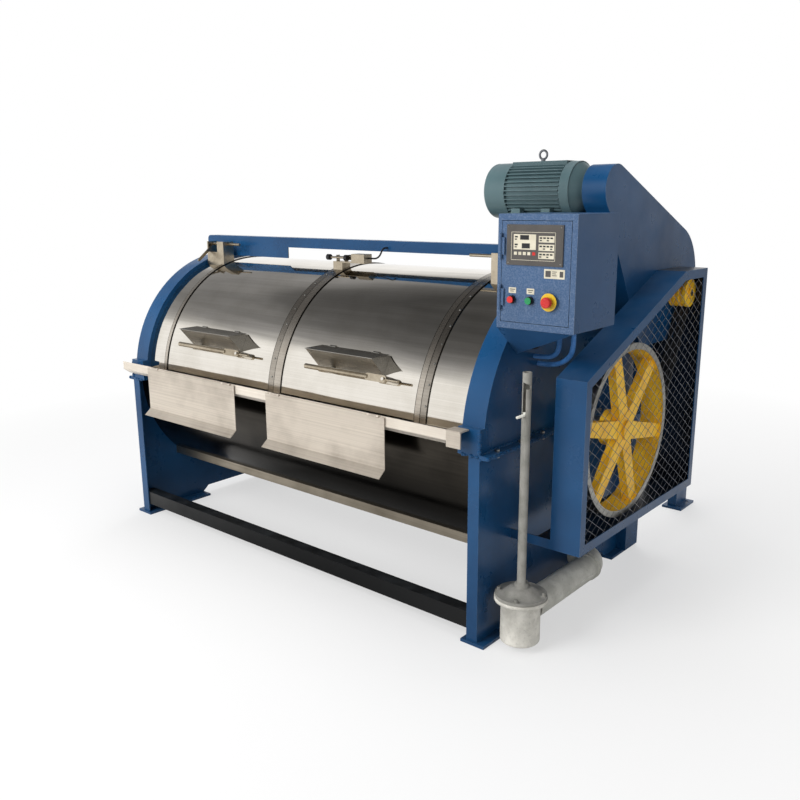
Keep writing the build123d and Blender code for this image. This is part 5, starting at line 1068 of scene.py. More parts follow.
@dataclass
class Studio:
    """The pale floor, the even light and the camera of the portrait."""

    camera_place: Tuple[float, float, float] = (2814.0, -2413.0, 1687.0)
    lamps_aim: Tuple[float, float, float] = (100.0, 500.0, 850.0)
    lamps: Sequence[Tuple[str, Tuple[float, float, float], float, float]] = (
        ("key_lamp", (-900.0, -4100.0, 3300.0), 3.2, 260.0),
        ("side_lamp", (4700.0, -300.0, 2600.0), 2.6, 34.0),
        ("top_lamp", (200.0, 900.0, 5200.0), 4.0, 150.0),
        ("rear_lamp", (-1800.0, 4800.0, 3000.0), 3.0, 90.0),
    )
    horizon_band: Sequence[Tuple[float, float]] = ((0.36, 1.0), (0.47, 0.62))
    ceiling_band: Sequence[Tuple[float, float]] = (
        (0.56, 0.30),
        (0.68, 0.12),
        (0.82, 0.06),
        (0.93, 0.10),
        (0.99, 0.40),
    )
    yaw: float = 0.7066
    pitch: float = -0.2351
    roll: float = -0.0067
    lens_mm: float = 37.42
    sensor_mm: float = 36.0
    floor_half: float = 40.0
    floor_drop: float = 0.0005
    floor_glow: float = 0.55
    mirrored_glow: float = 0.96
    dark_within: float = 1.0
    bright_beyond: float = 1.9
    dark_level: float = 0.10
    band_sway: float = 0.10
    shaded_side: float = 0.4
    fade_from: float = 1.6
    fade_to: float = 4.2

    def build(self) -> None:
        """Set the camera, the floor, the world and the lamps."""
        self.set_camera()
        self.lay_floor()
        self.light_world()
        self.hang_lamps()
        bpy.context.scene.view_settings.view_transform = "Standard"
        log.info("studio set")

    def set_camera(self) -> None:
        """Stand the camera where the photograph was taken from."""
        ahead = Vector(
            (
                -math.sin(self.yaw) * math.cos(self.pitch),
                math.cos(self.yaw) * math.cos(self.pitch),
                math.sin(self.pitch),
            )
        )
        right = Vector((math.cos(self.yaw), math.sin(self.yaw), 0.0))
        up = right.cross(ahead)
        right = math.cos(self.roll) * right + math.sin(self.roll) * up
        up = right.cross(ahead)
        lens = bpy.data.cameras.new("portrait_camera")
        lens.lens = self.lens_mm
        lens.sensor_width = self.sensor_mm
        lens.clip_end = 100.0
        camera = bpy.data.objects.new("portrait_camera", lens)
        turn = Matrix((right, up, -ahead)).transposed().to_4x4()
        camera.matrix_world = Matrix.Translation(at(*self.camera_place)) @ turn
        bpy.context.scene.collection.objects.link(camera)
        bpy.context.scene.camera = camera

    def lay_floor(self) -> None:
        """Lay a wide pale floor that keeps the machine's shadow, with a painted shadow near the machine and painted
        shade towards +X in what metal mirrors of it.
        """
        work = bmesh.new()
        bmesh.ops.create_grid(work, x_segments=1, y_segments=1, size=self.floor_half)
        bmesh.ops.translate(work, verts=work.verts, vec=(0.0, 0.0, -self.floor_drop))
        mesh = bpy.data.meshes.new("floor")
        work.to_mesh(mesh)
        work.free()
        floor = mesh_object("floor", mesh)
        paint = bpy.data.materials.new("pale_floor")
        paint.use_nodes = True
        tree = paint.node_tree
        tree.nodes.clear()
        shader = add_node(tree, "ShaderNodeBsdfPrincipled", {"Roughness": 0.8})
        shader.inputs["Base Color"].default_value = linear("#E4E4E4")
        ground = add_node(tree, "ShaderNodeTexCoord")
        rays = add_node(tree, "ShaderNodeLightPath")
        seen = combine(
            tree,
            "MAXIMUM",
            rays.outputs["Is Camera Ray"],
            combine(tree, "MAXIMUM", rays.outputs["Is Glossy Ray"], rays.outputs["Is Transmission Ray"]),
        )
        away = add_node(tree, "ShaderNodeVectorMath", {"operation": "LENGTH"}, {0: ground.outputs["Object"]})
        spot = add_node(tree, "ShaderNodeSeparateXYZ", {}, {0: ground.outputs["Object"]})
        # Painted shadow and shade: for glossy rays the floor glows dark near the middle and dimmer towards +X
        painted_floor_shadow = remap(tree, away.outputs["Value"], self.dark_within, self.bright_beyond, self.dark_level, 1.0)
        painted_side_shade = remap(tree, spot.outputs[0], self.dark_within, self.fade_to, 1.0, self.shaded_side)
        level = combine(tree, "MAXIMUM", combine(tree, "MULTIPLY", painted_floor_shadow, painted_side_shade), rays.outputs["Is Camera Ray"])
        glow = add_node(tree, "ShaderNodeEmission", {"Strength": 1.0}, {"Color": level})
        near_share = combine(
            tree,
            "ADD",
            self.floor_glow,
            combine(tree, "MULTIPLY", rays.outputs["Is Glossy Ray"], self.mirrored_glow - self.floor_glow),
        )
        fade = remap(tree, away.outputs["Value"], self.fade_from, self.fade_to, 0.0, 1.0)
        lifted = combine(tree, "MULTIPLY", fade, combine(tree, "SUBTRACT", 1.0, near_share))
        share = combine(tree, "MULTIPLY", seen, combine(tree, "ADD", near_share, lifted))
        mix = add_node(tree, "ShaderNodeMixShader", {}, {0: share, 1: shader.outputs[0], 2: glow.outputs[0]})
        add_node(tree, "ShaderNodeOutputMaterial", {}, {"Surface": mix.outputs[0]})
        floor.data.materials.append(paint)

    def light_world(self) -> None:
        """Ring the horizon with white and let the ceiling stay dark, as in a workshop hall."""
        world = bpy.data.worlds.new("workshop_daylight")
        bpy.context.scene.world = world
        world.use_nodes = True
        tree = world.node_tree
        tree.nodes.clear()
        place = add_node(tree, "ShaderNodeTexCoord")
        split = add_node(tree, "ShaderNodeSeparateXYZ", {}, {0: place.outputs["Generated"]})
        streaks = add_node(
            tree,
            "ShaderNodeMapping",
            {"Scale": (1.5, 1.5, 6.0)},
            {"Vector": place.outputs["Generated"]},
        )
        patches = add_node(tree, "ShaderNodeTexNoise", {"Scale": 1.0, "Detail": 3.0}, {"Vector": streaks.outputs[0]})
        sway = remap(tree, patches.outputs["Fac"], 0.25, 0.75, -self.band_sway, self.band_sway)
        height = combine(tree, "ADD", remap(tree, split.outputs[2], 0.0, 1.0, 0.0, 1.0), sway)
        ramp = add_node(tree, "ShaderNodeValToRGB", {}, {0: height})
        band = ramp.color_ramp
        for stop, (position, grey) in zip(band.elements, self.horizon_band):
            stop.position = position
            stop.color = (grey, grey, grey, 1.0)
        for position, grey in self.ceiling_band:
            stop = band.elements.new(position)
            stop.color = (grey, grey, grey * 1.02, 1.0)
        level = remap(tree, split.outputs[0], 0.15, 0.8, 1.0, self.shaded_side)
        rays = add_node(tree, "ShaderNodeLightPath")
        toned = add_node(tree, "ShaderNodeVectorMath", {"operation": "SCALE"}, {0: ramp.outputs[0], "Scale": level})
        seen = add_node(
            tree,
            "ShaderNodeVectorMath",
            {"operation": "MAXIMUM"},
            {0: toned.outputs[0], 1: rays.outputs["Is Camera Ray"]},
        )
        sky = add_node(tree, "ShaderNodeBackground", {"Strength": 1.0}, {"Color": seen.outputs[0]})
        add_node(tree, "ShaderNodeOutputWorld", {}, {"Surface": sky.outputs[0]})

    def hang_lamps(self) -> None:
        """Hang four large soft lamps that polished metal doesn't mirror."""
        middle = at(*self.lamps_aim)
        for name, place, size, watts in self.lamps:
            lamp = bpy.data.lights.new(name, "AREA")
            lamp.size = size
            lamp.energy = watts
            holder = bpy.data.objects.new(name, lamp)
            holder.location = at(*place)
            holder.rotation_euler = (middle - holder.location).to_track_quat("-Z", "Y").to_euler()
            holder.visible_glossy = False
            holder.visible_camera = False
            bpy.context.scene.collection.objects.link(holder)


@dataclass
class PlainNodes:
    """The CAD solids whose shape is already right, each in its own finish."""

    finishes: Dict[str, Finish] = field(
        default_factory=lambda: {
            "lower_frames": FRAME_ENAMEL,
            "upper_frames": FRAME_ENAMEL,
            "foot_plates": FRAME_ENAMEL,
            "top_beam": FRAME_ENAMEL,
            "crossbars": BLACK_ENAMEL,
            "motor_stand": FRAME_ENAMEL,
            "belt_cover": FRAME_ENAMEL,
            "drive_stand": FRAME_ENAMEL,
            "guard_frame": GUARD_ENAMEL,
            "control_box": BOX_ENAMEL,
            "control_door": BOX_ENAMEL,
            "control_panel": PANEL_PRINT,
            "button_collars": COLLAR_FINISH,
            "stop_button": RED_PLASTIC,
            "start_button": GREEN_PLASTIC,
            "emergency_button": RED_PLASTIC,
            "switchgear": BLACK_PLASTIC,
            "fasteners": TURNED_STEEL,
            "gutter": GUTTER_STEEL,
            "gutter_bracket": WATERMARKED_STEEL,
            "left_board": WATERMARKED_STEEL,
            "right_board": WATERMARKED_STEEL,
            "left_hopper": FOLDED_STEEL,
            "right_hopper": FOLDED_STEEL,
            "left_hopper_lid": FOLDED_STEEL,
            "right_hopper_lid": FOLDED_STEEL,
            "left_latch": FITTING_STEEL,
            "right_latch": FITTING_STEEL,
            "left_stay_bolt": FITTING_STEEL,
            "right_stay_bolt": FITTING_STEEL,
            "stay_brackets": FITTING_STEEL,
            "interlock_switch": FITTING_STEEL,
            "interlock_arm": ROCKER_FINISH,
            "cables": CABLE_SHEATH,
        }
    )

    def build(self) -> None:
        """Put each finish on its node."""
        for node, finish in self.finishes.items():
            finish.dress(frame["nodes"][node])
            log.info("%s keeps its shape in %s", node, finish.name)


@dataclass
class TurnedParts:
    """The parts that are round about an axis along the drum, with true round shading."""

    rows: Sequence[Tuple[str, Tuple[float, float], Finish]] = (
        ("left_door", DRUM_AXIS, MIRROR_STEEL),
        ("right_door", DRUM_AXIS, MIRROR_STEEL),
        ("end_shells", DRUM_AXIS, MIRROR_STEEL),
        ("rear_shell", DRUM_AXIS, MIRROR_STEEL),
        ("lower_shell", DRUM_AXIS, LOWER_STEEL_PAINTED_SHADE),
        ("shell_ledge", DRUM_AXIS, LEDGE_STEEL),
        ("door_rails", DRUM_AXIS, RAIL_STEEL),
        ("basket", DRUM_AXIS, BASKET_STEEL),
        ("left_basket_door", DRUM_AXIS, BASKET_STEEL),
        ("right_basket_door", DRUM_AXIS, BASKET_STEEL),
        ("drum_wheel", DRUM_AXIS, WHEEL_FINISH),
        ("drum_shafts", DRUM_AXIS, SHAFT_FINISH),
        ("drum_bearings", DRUM_AXIS, FRAME_ENAMEL),
        ("drum_belts", DRUM_AXIS, BELT_RUBBER),
        ("jackshaft", JACKSHAFT_AXIS, PULLEY_FINISH),
        ("jackshaft_bearings", JACKSHAFT_AXIS, FRAME_ENAMEL),
        ("motor_belts", MOTOR_AXIS, BELT_RUBBER),
        ("motor_body", MOTOR_AXIS, MOTOR_FINISH),
        ("motor_fan_cover", MOTOR_AXIS, MOTOR_ENAMEL),
        ("motor_rotor", MOTOR_AXIS, TURNED_STEEL),
    )

    def build(self) -> None:
        """Copy each node, shade its walls round and put it in the node's place."""
        for node, axis, finish in self.rows:
            shape = copy_of(node, f"{node}_round")
            shade_round(shape, axis)
            Piece(shape, body_of_node(node), finish, (node,)).place()


@dataclass
class SmoothParts:
    """Pipes, castings and rounded fittings, shaded smooth between their sharp edges."""

    rows: Sequence[Tuple[str, Finish]] = (
        ("drain_pot", POT_CASTING),
        ("drain_cover", LID_CASTING),
        ("drain_stem", ROD_PAINT),
        ("drain_pipe", PIPE_PAINT),
    )

    def build(self) -> None:
        """Copy each node, shade it by angle and put it in the node's place."""
        for node, finish in self.rows:
            shape = copy_of(node, f"{node}_smooth")
            shade_by_angle(shape)
            Piece(shape, body_of_node(node), finish, (node,)).place()


@dataclass
class WeldBeads:
    """Hand-laid weld beads along the split flanges and the frames' front corners, painted over in blue."""

    drop_radius: float = 0.0065
    pitch: float = 0.0095
    unevenness: float = 0.45
    runs: Sequence[Tuple[Tuple[float, float, float], Tuple[float, float, float]]] = (
        ((1138.0, 4.0, 774.0), (1138.0, 500.0, 774.0)),
        ((1138.0, 4.0, 756.0), (1138.0, 500.0, 756.0)),
        ((1138.0, 814.0, 774.0), (1138.0, 1310.0, 774.0)),
        ((1138.0, 814.0, 756.0), (1138.0, 1310.0, 756.0)),
        ((1172.0, 4.0, 765.0), (1172.0, 500.0, 765.0)),
        ((1172.0, 814.0, 765.0), (1172.0, 1310.0, 765.0)),
        ((1135.0, 2.0, 776.0), (1135.0, 2.0, 868.0)),
        ((1060.0, 1.0, 765.0), (1136.0, 1.0, 765.0)),
    )
    seed: int = 7

    def build(self) -> None:
        """Lay the drops and leave them on the frame as one plain mesh."""
        tree = self.laying()
        mesh = bpy.data.meshes.new("weld_bead_seed")
        start = mesh_object("weld_bead_seed", mesh)
        modifier = start.modifiers.new("weld beads", "NODES")
        modifier.node_group = tree
        give_sizes(modifier, {"Drop Radius": self.drop_radius, "Unevenness": self.unevenness})
        drops = baked(start, "frame_weld_beads")
        shade_by_angle(drops, 80.0)
        Piece(drops, "frame", FRAME_ENAMEL, ()).place()

    def laying(self) -> bpy.types.NodeTree:
        """Build the tree that puts uneven drops along every run."""
        tree = bpy.data.node_groups.new("weld beads", "GeometryNodeTree")
        tree.interface.new_socket("Geometry", in_out="INPUT", socket_type="NodeSocketGeometry")
        for name, value in (("Drop Radius", self.drop_radius), ("Unevenness", self.unevenness)):
            socket = tree.interface.new_socket(name, in_out="INPUT", socket_type="NodeSocketFloat")
            socket.default_value = value
        tree.interface.new_socket("Geometry", in_out="OUTPUT", socket_type="NodeSocketGeometry")
        sizes = add_node(tree, "NodeGroupInput")
        joined = add_node(tree, "GeometryNodeJoinGeometry")
        for side in (-1.0, 1.0):
            for near, far in self.runs:
                first = at(side * near[0], near[1], near[2])
                way = at(side * far[0], far[1], far[2]) - first
                run = add_node(
                    tree,
                    "GeometryNodeMeshLine",
                    {
                        "Count": int(way.length / self.pitch),
                        "Start Location": first,
                        "Offset": way.normalized() * self.pitch,
                    },
                )
                tree.links.new(run.outputs[0], joined.inputs[0])
        drop = add_node(
            tree,
            "GeometryNodeMeshIcoSphere",
            {"Subdivisions": 2},
            {"Radius": sizes.outputs["Drop Radius"]},
        )
        least = combine(tree, "SUBTRACT", 1.0, sizes.outputs["Unevenness"])
        most = combine(tree, "ADD", 1.0, sizes.outputs["Unevenness"])
        size = add_node(
            tree,
            "FunctionNodeRandomValue",
            {"data_type": "FLOAT", "Seed": self.seed},
        )
        tree.links.new(least, size.inputs[2])
        tree.links.new(most, size.inputs[3])
        laid = add_node(
            tree,
            "GeometryNodeInstanceOnPoints",
            {},
            {"Points": joined.outputs[0], "Instance": drop.outputs[0], "Scale": size.outputs[1]},
        )
        whole = add_node(tree, "GeometryNodeRealizeInstances", {}, {0: laid.outputs[0]})
        paint = FRAME_ENAMEL.material()
        blue = add_node(tree, "GeometryNodeSetMaterial", {"Material": paint}, {0: whole.outputs[0]})
        add_node(tree, "NodeGroupOutput", {}, {0: blue.outputs[0]})
        return tree


@dataclass
class GuardNet:
    """The diamond net of the wheel guard: two families of woven galvanised wires."""

    wire_radius: float = 0.0010
    half_width: float = 0.033
    half_height: float = 0.022
    front: float = 225.0
    back: float = 1300.0
    bottom: float = 379.0
    shoulder: float = 1053.0
    peak: float = 1390.0
    slope_run: float = 833.0
    leg: float = 38.0
    plane_x: float = 1436.7
    step: float = 0.010

    def build(self) -> None:
        """Weave the net and hang it in the guard's frame."""
        tree = self.weaving()
        mesh = bpy.data.meshes.new("guard_net_seed")
        seed = mesh_object("guard_net_seed", mesh)
        modifier = seed.modifiers.new("woven net", "NODES")
        modifier.node_group = tree
        give_sizes(
            modifier,
            {
                "Wire Radius": self.wire_radius,
                "Half Width": self.half_width,
                "Half Height": self.half_height,
            },
        )
        net = baked(seed, "guard_wire_net")
        shade_by_angle(net, 80.0)
        Piece(net, "frame", ZINC_WIRE, ("guard_mesh",)).place()

    def weaving(self) -> bpy.types.NodeTree:
        """Build the tree that draws, weaves, trims and thickens the wires."""
        tree = bpy.data.node_groups.new("woven net", "GeometryNodeTree")
        tree.interface.new_socket("Geometry", in_out="INPUT", socket_type="NodeSocketGeometry")
        for name, value in (
            ("Wire Radius", self.wire_radius),
            ("Half Width", self.half_width),
            ("Half Height", self.half_height),
        ):
            socket = tree.interface.new_socket(name, in_out="INPUT", socket_type="NodeSocketFloat")
            socket.default_value = value
        tree.interface.new_socket("Geometry", in_out="OUTPUT", socket_type="NodeSocketGeometry")
        sizes = add_node(tree, "NodeGroupInput")
        low = at(self.plane_x, self.front, self.bottom)
        high = at(self.plane_x, self.back, self.peak)
        rise = high.z - low.z
        reach = rise * self.half_width / self.half_height
        count = int((reach + high.y - low.y) / (2.0 * self.half_width)) + 2
        joined = add_node(tree, "GeometryNodeJoinGeometry")
        for side in (1.0, -1.0):
            start_y = low.y - reach if side > 0 else low.y
            starts = add_node(
                tree,
                "GeometryNodeMeshLine",
                {
                    "Count": count,
                    "Start Location": (low.x, start_y, low.z),
                    "Offset": (0.0, 2.0 * self.half_width, 0.0),
                },
            )
            wire = add_node(
                tree,
                "GeometryNodeCurvePrimitiveLine",
                {"Start": (0.0, 0.0, 0.0), "End": (0.0, side * reach, rise)},
            )
            fine = add_node(
                tree,
                "GeometryNodeResampleCurve",
                {"Count": int(math.hypot(reach, rise) / self.step)},
                {"Curve": wire.outputs[0]},
            )
            laid = add_node(
                tree, "GeometryNodeInstanceOnPoints", {}, {"Points": starts.outputs[0], "Instance": fine.outputs[0]}
            )
            real = add_node(tree, "GeometryNodeRealizeInstances", {}, {0: laid.outputs[0]})
            woven = self.weave(tree, sizes, real.outputs[0], side, low.z)
            tree.links.new(self.trim(tree, woven), joined.inputs[0])
        profile = add_node(
            tree, "GeometryNodeCurvePrimitiveCircle", {"Resolution": 6}, {"Radius": sizes.outputs["Wire Radius"]}
        )
        thick = add_node(
            tree,
            "GeometryNodeCurveToMesh",
            {"Fill Caps": True},
            {"Curve": joined.outputs[0], "Profile Curve": profile.outputs[0]},
        )
        whole = add_node(tree, "GeometryNodeRealizeInstances", {}, {0: thick.outputs[0]})
        zinc = add_node(tree, "GeometryNodeSetMaterial", {"Material": ZINC_WIRE.material()}, {0: whole.outputs[0]})
        add_node(tree, "NodeGroupOutput", {}, {0: zinc.outputs[0]})
        return tree

    def weave(
        self, tree: bpy.types.NodeTree, sizes: bpy.types.Node, wires: Socket, side: float, base: float
    ) -> Socket:
        """Push the wires in and out by turns, so that they pass over and under each other.

        Args:
            tree: The node tree that takes the nodes.
            sizes: The node that gives the tree's inputs.
            wires: The socket that carries the wires.
            side: 1 for the wires that climb to the back, -1 for the others.
            base: The height where the wires start, in metres.

        Returns:
            The socket of the woven wires.
        """
        spot = add_node(tree, "GeometryNodeInputPosition")
        split = add_node(tree, "ShaderNodeSeparateXYZ", {}, {0: spot.outputs[0]})
        rows = combine(tree, "DIVIDE", combine(tree, "SUBTRACT", split.outputs[2], base), sizes.outputs["Half Height"])
        wave = combine(tree, "COSINE", combine(tree, "MULTIPLY", rows, math.pi), 0.0)
        push = combine(tree, "MULTIPLY", combine(tree, "MULTIPLY", wave, sizes.outputs["Wire Radius"]), side)
        shift = add_node(tree, "ShaderNodeCombineXYZ", {}, {0: push})
        moved = add_node(tree, "GeometryNodeSetPosition", {}, {"Geometry": wires, "Offset": shift.outputs[0]})
        return moved.outputs[0]

    def trim(self, tree: bpy.types.NodeTree, wires: Socket) -> Socket:
        """Cut off what lies outside the guard's sloped outline.

        Args:
            tree: The node tree that takes the nodes.
            wires: The socket that carries the wires.

        Returns:
            The socket of the trimmed wires.
        """
        margin = self.leg / 2.0
        low = at(0.0, self.front + margin, self.bottom + margin)
        high = at(0.0, self.back - margin, self.peak - margin)
        spot = add_node(tree, "GeometryNodeInputPosition")
        split = add_node(tree, "ShaderNodeSeparateXYZ", {}, {0: spot.outputs[0]})
        grade = (self.peak - self.shoulder) / self.slope_run
        shoulder = at(0.0, self.front, self.shoulder - margin * 1.1)
        along = combine(tree, "MULTIPLY", combine(tree, "SUBTRACT", split.outputs[1], shoulder.y), grade)
        ceiling = combine(tree, "MINIMUM", combine(tree, "ADD", along, shoulder.z), high.z)
        tests = (
            combine(tree, "LESS_THAN", split.outputs[1], low.y),
            combine(tree, "GREATER_THAN", split.outputs[1], high.y),
            combine(tree, "LESS_THAN", split.outputs[2], low.z),
            combine(tree, "GREATER_THAN", split.outputs[2], ceiling),
        )
        outside = tests[0]
        for test in tests[1:]:
            outside = combine(tree, "MAXIMUM", outside, test)
        cut = add_node(
            tree,
            "GeometryNodeDeleteGeometry",
            {"domain": "POINT"},
            {"Geometry": wires, "Selection": outside},
        )
        return cut.outputs[0]


@dataclass
class ControlPanelPrint:
    """The printed windows, keys and screws on the dark film of the control panel."""

    left: float = 1176.0
    right: float = 1400.0
    low: float = 1466.0
    high: float = 1605.0
    face: float = 88.0
    print_rise: float = 0.35
    screw_radius: float = 2.6

    def plate(self, work: bmesh.types.BMesh, box: Sequence[float], rise: float) -> None:
        """Add one thin plate, given by its shares of the film: left, right, top and bottom.

        Args:
            work: The mesh being built.
            box: Left, right, top and bottom, as shares of the film.
            rise: How far the print stands out, in millimetres.
        """
        width = self.right - self.left
        height = self.high - self.low
        corners = [
            at(self.left + box[0] * width, self.face, self.high - box[3] * height),
            at(self.left + box[1] * width, self.face, self.high - box[2] * height),
        ]
        front = at(0.0, self.face - rise, 0.0).y
        points = [
            (corners[0].x, corners[0].z),
            (corners[1].x, corners[0].z),
            (corners[1].x, corners[1].z),
            (corners[0].x, corners[1].z),
        ]
        back = [work.verts.new((x, corners[0].y + 0.0002, z)) for x, z in points]
        fore = [work.verts.new((x, front, z)) for x, z in points]
        work.faces.new(fore)
        work.faces.new(back[::-1])
        for k in range(4):
            work.faces.new((fore[k], back[k], back[(k + 1) % 4], fore[(k + 1) % 4]))

    def sheet(self, name: str, boxes: Iterable[Sequence[float]], rise: float, finish: Finish) -> None:
        """Make one printed layer from its plates.

        Args:
            name: The new object's or tree's name.
            boxes: The plates' boxes.
            rise: How far the print stands out, in millimetres.
            finish: The finish of the layer.
        """
        work = bmesh.new()
        for box in boxes:
            self.plate(work, box, rise)
        bmesh.ops.recalc_face_normals(work, faces=work.faces)
        mesh = bpy.data.meshes.new(name)
        work.to_mesh(mesh)
        work.free()
        Piece(mesh_object(name, mesh), "panel_door", finish).place()

    def screws(self) -> None:
        """Set a dome-headed screw in each corner of the film."""
        work = bmesh.new()
        width = self.right - self.left
        height = self.high - self.low
        sides = 20
        rings = 5
        for across, down in ((0.035, 0.06), (0.965, 0.06), (0.035, 0.94), (0.965, 0.94)):
            loops = []
            for ring in range(rings):
                turn = math.pi / 2 * ring / rings
                reach = self.screw_radius * math.cos(turn)
                out = 0.55 * self.screw_radius * math.sin(turn)
                centre = (self.left + across * width, self.high - down * height)
                loop = []
                for k in range(sides):
                    angle = 2 * math.pi * k / sides
                    spot = at(centre[0] + reach * math.cos(angle), self.face - out, centre[1] + reach * math.sin(angle))
                    loop.append(work.verts.new(spot))
                loops.append(loop)
            for near, far in zip(loops, loops[1:]):
                for k in range(sides):
                    work.faces.new((near[k], near[(k + 1) % sides], far[(k + 1) % sides], far[k]))
            work.faces.new(loops[-1])
            work.faces.new(loops[0][::-1])
        bmesh.ops.recalc_face_normals(work, faces=work.faces)
        mesh = bpy.data.meshes.new("panel_corner_screws")
        work.to_mesh(mesh)
        work.free()
        heads = mesh_object("panel_corner_screws", mesh)
        shade_by_angle(heads)
        Piece(heads, "panel_door", TURNED_STEEL).place()

    def build(self) -> None:
        """Lay the frame line, the windows, the displays, the keys and the screws."""
        self.screws()
        line = 0.006
        edge = (0.0875, 0.869, 0.18, 0.873)
        self.sheet(
            "panel_frame_line",
            [
                (edge[0], edge[1], edge[2], edge[2] + line * 1.6),
                (edge[0], edge[1], edge[3] - line * 1.6, edge[3]),
                (edge[0], edge[0] + line, edge[2], edge[3]),
                (edge[1] - line, edge[1], edge[2], edge[3]),
            ],
            self.print_rise,
            PALE_FILM,
        )
        blocks = [(0.13, 0.53, 0.236, 0.61)]
        blocks += [(0.58, 0.85, top, top + 0.155) for top in (0.268, 0.47, 0.665)]
        blocks += [(0.14 + 0.081 * k, 0.192 + 0.081 * k, 0.668, 0.745) for k in range(4)]
        self.sheet("panel_windows", blocks, self.print_rise, PALE_FILM)
        marks = [(0.247, 0.406, 0.255, 0.37), (0.28, 0.425, 0.455, 0.58)]
        for row, top in enumerate((0.268, 0.47, 0.665)):
            for k in range(4):
                start = 0.595 + 0.062 * k
                marks.append((start, start + 0.045, top + 0.03, top + 0.07))
                if (row + k) % 2 == 0:
                    marks.append((start, start + 0.038, top + 0.095, top + 0.125))
        for k in range(2):
            marks.append((0.15, 0.205, 0.28 + 0.19 * k, 0.32 + 0.19 * k))
            marks.append((0.15, 0.19, 0.345 + 0.19 * k, 0.375 + 0.19 * k))
        self.sheet("panel_displays", marks, self.print_rise * 2.0, BLACK_PLASTIC)
        self.sheet("panel_red_key", [(0.472, 0.524, 0.668, 0.745)], self.print_rise * 2.0, RED_PLASTIC)


@dataclass
class PlateMarks(ControlPanelPrint):
    """The dark marks printed on the pale plates of the control box door: blocks, no writing."""

    name: str = "plate_marks"
    face: float = 92.0
    print_rise: float = 0.25
    marks: Sequence[Sequence[float]] = ()

    def build(self) -> None:
        """Print the marks on this plate."""
        self.sheet(self.name, self.marks, self.print_rise, PANEL_FILM)


SQUARE_AND_LINES = (
    (0.07, 0.33, 0.17, 0.83),
    (0.40, 0.62, 0.22, 0.30),
    (0.40, 0.58, 0.42, 0.50),
    (0.40, 0.62, 0.62, 0.70),
    (0.76, 0.93, 0.20, 0.80),
)
TWO_LINES = ((0.14, 0.86, 0.24, 0.40), (0.22, 0.70, 0.58, 0.72))
PLATES = (
    PlateMarks(1328.0, 1408.0, 1425.0, 1457.0, name="plate_marks", marks=SQUARE_AND_LINES),
    PlateMarks(1187.0, 1217.0, 1367.0, 1387.0, name="stop_label_marks", marks=TWO_LINES),
    PlateMarks(1261.0, 1291.0, 1367.0, 1387.0, name="start_label_marks", marks=TWO_LINES),
)


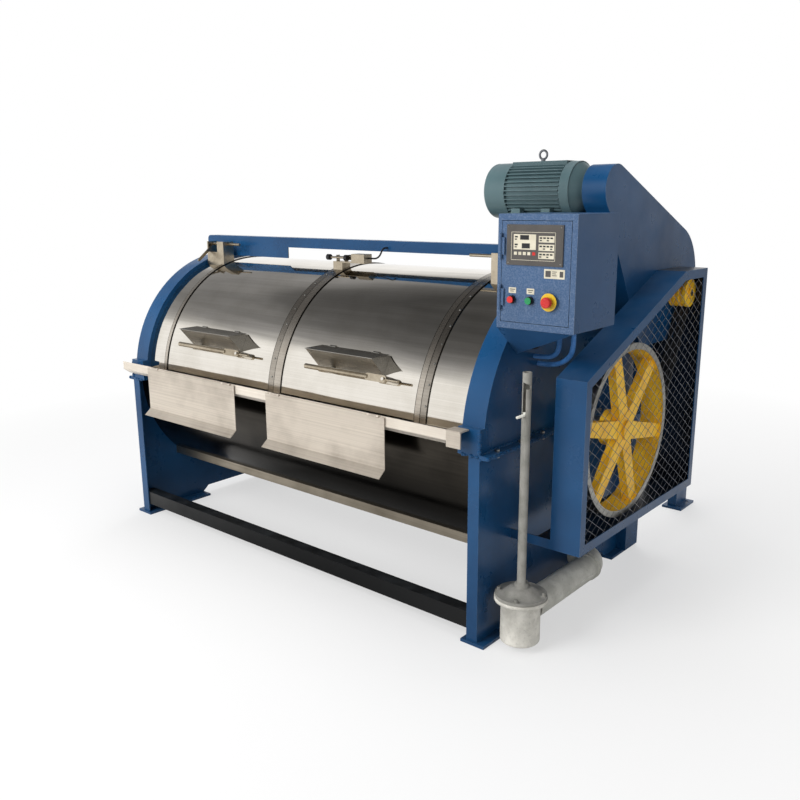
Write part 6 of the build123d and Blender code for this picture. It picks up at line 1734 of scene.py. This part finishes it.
@dataclass
class CorrugatedConduits:
    """The two blue conduits that loop from the control box into the end frame."""

    radius: float = 0.010
    pitch: float = 0.007
    routes: Sequence[Tuple[str, float, Sequence[Tuple[float, float, float]]]] = (
        (
            "front_conduit",
            0.354,
            (
                (1352.0, 276.0, 1241.0),
                (1352.0, 276.0, 1181.0),
                (1334.0, 302.0, 1135.0),
                (1288.0, 344.0, 1097.0),
                (1236.0, 378.0, 1071.0),
                (1186.0, 390.0, 1061.0),
                (1137.0, 390.0, 1061.0),
            ),
        ),
        (
            "rear_conduit",
            0.264,
            (
                (1286.0, 290.0, 1241.0),
                (1286.0, 290.0, 1191.0),
                (1272.0, 314.0, 1143.0),
                (1236.0, 346.0, 1107.0),
                (1186.0, 360.0, 1095.0),
                (1137.0, 360.0, 1095.0),
            ),
        ),
    )

    def build(self) -> None:
        """Draw each route as one smooth spline and ridge the tube along it."""
        for name, length, points in self.routes:
            curve = bpy.data.curves.new(name, "CURVE")
            curve.dimensions = "3D"
            curve.resolution_u = 24
            spline = curve.splines.new("NURBS")
            spline.points.add(len(points) - 1)
            for spot, place in zip(spline.points, points):
                spot.co = (*at(*place), 1.0)
            spline.order_u = 3
            spline.use_endpoint_u = True
            route = bpy.data.objects.new(name + "_route", curve)
            bpy.context.scene.collection.objects.link(route)
            view = bpy.context.evaluated_depsgraph_get()
            view.update()
            line = bpy.data.meshes.new_from_object(route.evaluated_get(view), depsgraph=view)
            bpy.data.meshes.remove(line)
            tree = self.ridging(name)
            modifier = route.modifiers.new("ridged hose", "NODES")
            modifier.node_group = tree
            give_sizes(modifier, {"Hose Radius": self.radius, "Ridge Pitch": self.pitch})
            hose = baked(route, name)
            shade_by_angle(hose, 60.0)
            Piece(hose, "frame", CONDUIT_PLASTIC, ("conduits",)).place()

    def ridging(self, name: str) -> bpy.types.NodeTree:
        """Build the tree that turns a route into a ridged hose.

        Args:
            name: The new object's or tree's name.

        Returns:
            The new node tree.
        """
        tree = bpy.data.node_groups.new("ridged hose " + name, "GeometryNodeTree")
        tree.interface.new_socket("Geometry", in_out="INPUT", socket_type="NodeSocketGeometry")
        for label, value in (("Hose Radius", self.radius), ("Ridge Pitch", self.pitch)):
            socket = tree.interface.new_socket(label, in_out="INPUT", socket_type="NodeSocketFloat")
            socket.default_value = value
        tree.interface.new_socket("Geometry", in_out="OUTPUT", socket_type="NodeSocketGeometry")
        sizes = add_node(tree, "NodeGroupInput")
        fine = add_node(
            tree,
            "GeometryNodeResampleCurve",
            {"mode": "LENGTH", "Length": self.pitch / 6.0},
            {"Curve": sizes.outputs["Geometry"]},
        )
        along = add_node(tree, "GeometryNodeSplineParameter")
        turns = combine(tree, "DIVIDE", along.outputs["Length"], sizes.outputs["Ridge Pitch"])
        wave = combine(tree, "COSINE", combine(tree, "MULTIPLY", turns, 2.0 * math.pi), 0.0)
        share = combine(tree, "ADD", combine(tree, "MULTIPLY", wave, 0.07), 0.93)
        width = combine(tree, "MULTIPLY", share, sizes.outputs["Hose Radius"])
        profile = add_node(tree, "GeometryNodeCurvePrimitiveCircle", {"Resolution": 16, "Radius": 1.0})
        hose = add_node(
            tree,
            "GeometryNodeCurveToMesh",
            {"Fill Caps": True},
            {"Curve": fine.outputs[0], "Profile Curve": profile.outputs[0], "Scale": width},
        )
        whole = add_node(tree, "GeometryNodeRealizeInstances", {}, {0: hose.outputs[0]})
        plastic = CONDUIT_PLASTIC.material()
        blue = add_node(tree, "GeometryNodeSetMaterial", {"Material": plastic}, {0: whole.outputs[0]})
        add_node(tree, "NodeGroupOutput", {}, {0: blue.outputs[0]})
        return tree


def main() -> None:
    """Build every sub-assembly in order."""
    logging.basicConfig(level=logging.INFO, format="%(message)s")
    Studio().build()
    CorrugatedConduits().build()
    PlainNodes().build()
    TurnedParts().build()
    SmoothParts().build()
    WeldBeads().build()
    GuardNet().build()
    ControlPanelPrint().build()
    for plate in PLATES:
        plate.build()


if __name__ == "__main__":
    main()
